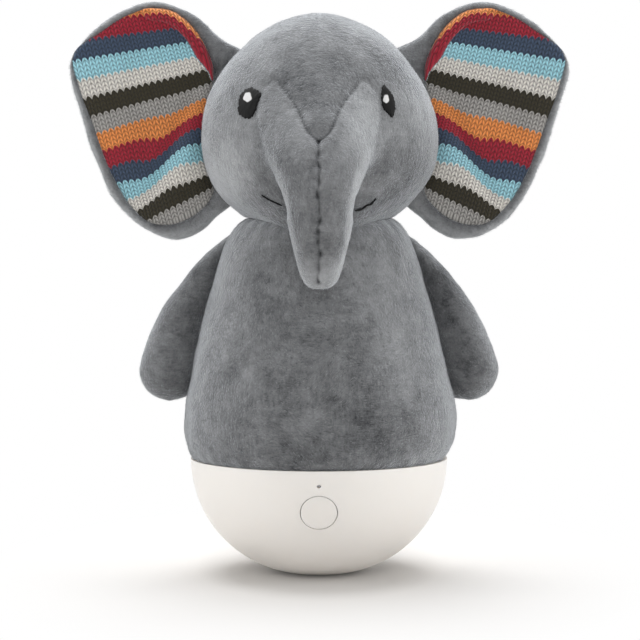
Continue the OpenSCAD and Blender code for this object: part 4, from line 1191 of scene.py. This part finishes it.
def on_skin(x, z):
    """Points of the face below places seen from the front, and the skin's outward direction there: means of the
    skin's own points, weighted by a bell curve of their distance."""
    at = np.stack([np.ravel(x), np.ravel(z)], -1)
    near = np.all(np.abs(skin_points[:, [0, 2]] - at.mean(0)) < np.ptp(at, axis=0) / 2 + 4, axis=1)
    p, n = skin_points[near], skin_ways[near]
    weight = np.exp(-0.5 * ((at[:, None] - p[None][:, :, [0, 2]]) ** 2).sum(-1) / 0.8 ** 2)
    weight /= weight.sum(1, keepdims=True)
    shape = np.shape(x) + (3,)
    return np.stack([at[:, 0], weight @ p[:, 1], at[:, 1]], -1).reshape(shape), unit(weight @ n).reshape(shape)


print("face points", len(skin_points))

# %% Thread finish
def thread_finish():
    """Black satin stitch: fine ridges along the stitch direction, white where the piece keeps a glint."""
    finish = Finish("satin_stitch")
    line = abs(finish.kept("thread").part() * 2 - 1)
    hair = finish.noise(finish.place(), 2500.0, 2.0)
    black = finish.mix(line * 0.6 + hair * 0.3, (0.002, 0.002, 0.002, 1), (0.009, 0.009, 0.0095, 1))
    white = finish.mix(line * 0.7, (0.55, 0.55, 0.55, 1), (0.88, 0.88, 0.88, 1))
    return finish.surface(Base_Color=finish.mix(finish.kept("glint"), black, white), Roughness=0.55,
                          Normal=finish.bump(0.4, 0.0002, line), Specular_IOR_Level=0.12)


thread = thread_finish()
print("thread nodes", len(thread.node_tree.nodes))

# %% Eyes
def eye_form(knots):
    """Rings from the middle outwards: shares of the way to a ragged closed outline on the skin, raised as a low
    dome, then back underneath to close it. Also gives each point's place seen from the front."""
    edge = smooth_ring(knots, 10)
    turn = np.arange(len(edge)) * 2 * np.pi / len(edge)
    middle = edge.mean(0)
    ragged = 1 + 0.03 * np.sin(turn * 23) + 0.025 * np.sin(turn * 13 + 1)
    up = np.linspace(0, 1, 31)
    s = np.concatenate([up, [0.98, 0.6, 0.0]])[:, None]
    rise = np.concatenate([0.3 + 0.8 * np.sqrt(np.maximum(1 - up ** 2.4, 0)), [-0.5, -0.9, -0.9]])[:, None]
    seen = middle + s[..., None] * ((edge - middle) * ragged[:, None])[None]
    base, out = on_skin(seen[..., 0], seen[..., 1])
    return base + out * rise[..., None], seen


def make_eye(name, node, knots, spot):
    """One embroidered eye. spot is the light stitch: its middle and half sizes in mm."""
    grid, seen = eye_form(knots)
    piece = closed_grid(name, grid)
    x, z = np.concatenate([seen[0].mean(0)[None], seen[1:-1].reshape(-1, 2), seen[-1].mean(0)[None]]).T
    e, f = (x - spot[0]) / spot[2], (z - spot[1]) / spot[3]
    turn = np.arctan2(f, e)
    uneven = 1 + 0.05 * np.sin(turn * 3 + 0.6) + 0.06 * np.sin(turn * 5)
    mark(piece, "glint", ease(1.08 - np.hypot(e, f) * uneven, 0.0, 0.16))
    mark(piece, "thread", (z + 0.3 * x) / 0.42)
    dress(piece, thread, "black_thread", node)
    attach(piece, "lamp")
    return piece


left_eye = [[-24.1, 178.3], [-21.9, 177.3], [-20.5, 175.7], [-21.6, 172.9], [-22.6, 169.9], [-23.8, 167.8],
            [-25.2, 167.2], [-27.4, 168.1], [-28.7, 169.9], [-28.5, 172.4], [-28.1, 175.3], [-26.3, 177.4]]
right_eye = [[23.1, 179.2], [24.9, 177.2], [26.2, 175.5], [26.8, 173.3], [27.1, 170.9], [26.6, 168.9], [25.9, 167.7],
             [24.6, 168.9], [23.2, 170.3], [22.5, 171.9], [22.2, 174.2], [22.2, 176.3], [22.4, 178.1]]
eyes = [make_eye("stitched_eye_left", "eye_left", left_eye, (-24.9, 174.6, 1.4, 1.7)),
        make_eye("stitched_eye_right", "eye_right", right_eye, (23.5, 174.0, 0.9, 1.45))]
print("eyes", [len(e.data.polygons) for e in eyes])

# %% Mouth
def mouth_form(knots, radius):
    """A thread line carried along a curve on the skin: rings of a small circle, drawn in to points at its ends."""
    way = smooth_through(knots, 12)
    base, out = on_skin(way[:, 0], way[:, 1])
    base = base + out * 0.25
    run = unit(np.gradient(base, axis=0))
    side = np.cross(run, out)
    t = np.linspace(0, 1, len(way))[:, None, None]
    size = radius * np.sqrt(np.maximum(1 - (2 * t - 1) ** 8, 0.02)) * (0.85 + 0.15 * np.cos(t * 2 * np.pi * 5))
    sides = 14
    a = (np.arange(sides) * 2 * np.pi / sides)[None, :, None]
    return capped(base[:, None] + size * (side[:, None] * np.cos(a) + out[:, None] * np.sin(a)))


left_line = [[-20.4, 140.2], [-17.5, 138.4], [-13.0, 136.4]]
right_line = [[12.8, 134.6], [15.2, 135.2], [17.0, 136.5], [18.4, 136.9], [20.4, 139.0]]
lines = [closed_grid("stitched_mouth", mouth_form(left_line, 0.36)),
         closed_grid("mouth_right", mouth_form(right_line, 0.46))]
bpy.ops.object.select_all(action="DESELECT")
for line in lines:
    line.select_set(True)
bpy.context.view_layer.objects.active = lines[0]
bpy.ops.object.join()
mouth = lines[0]
p = get_points(mouth)
mark(mouth, "thread", (p[:, 0] + p[:, 2]) / 0.5)
dress(mouth, thread, "black_thread", "mouth_stitches")
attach(mouth, "lamp")
print("mouth", len(mouth.data.polygons))
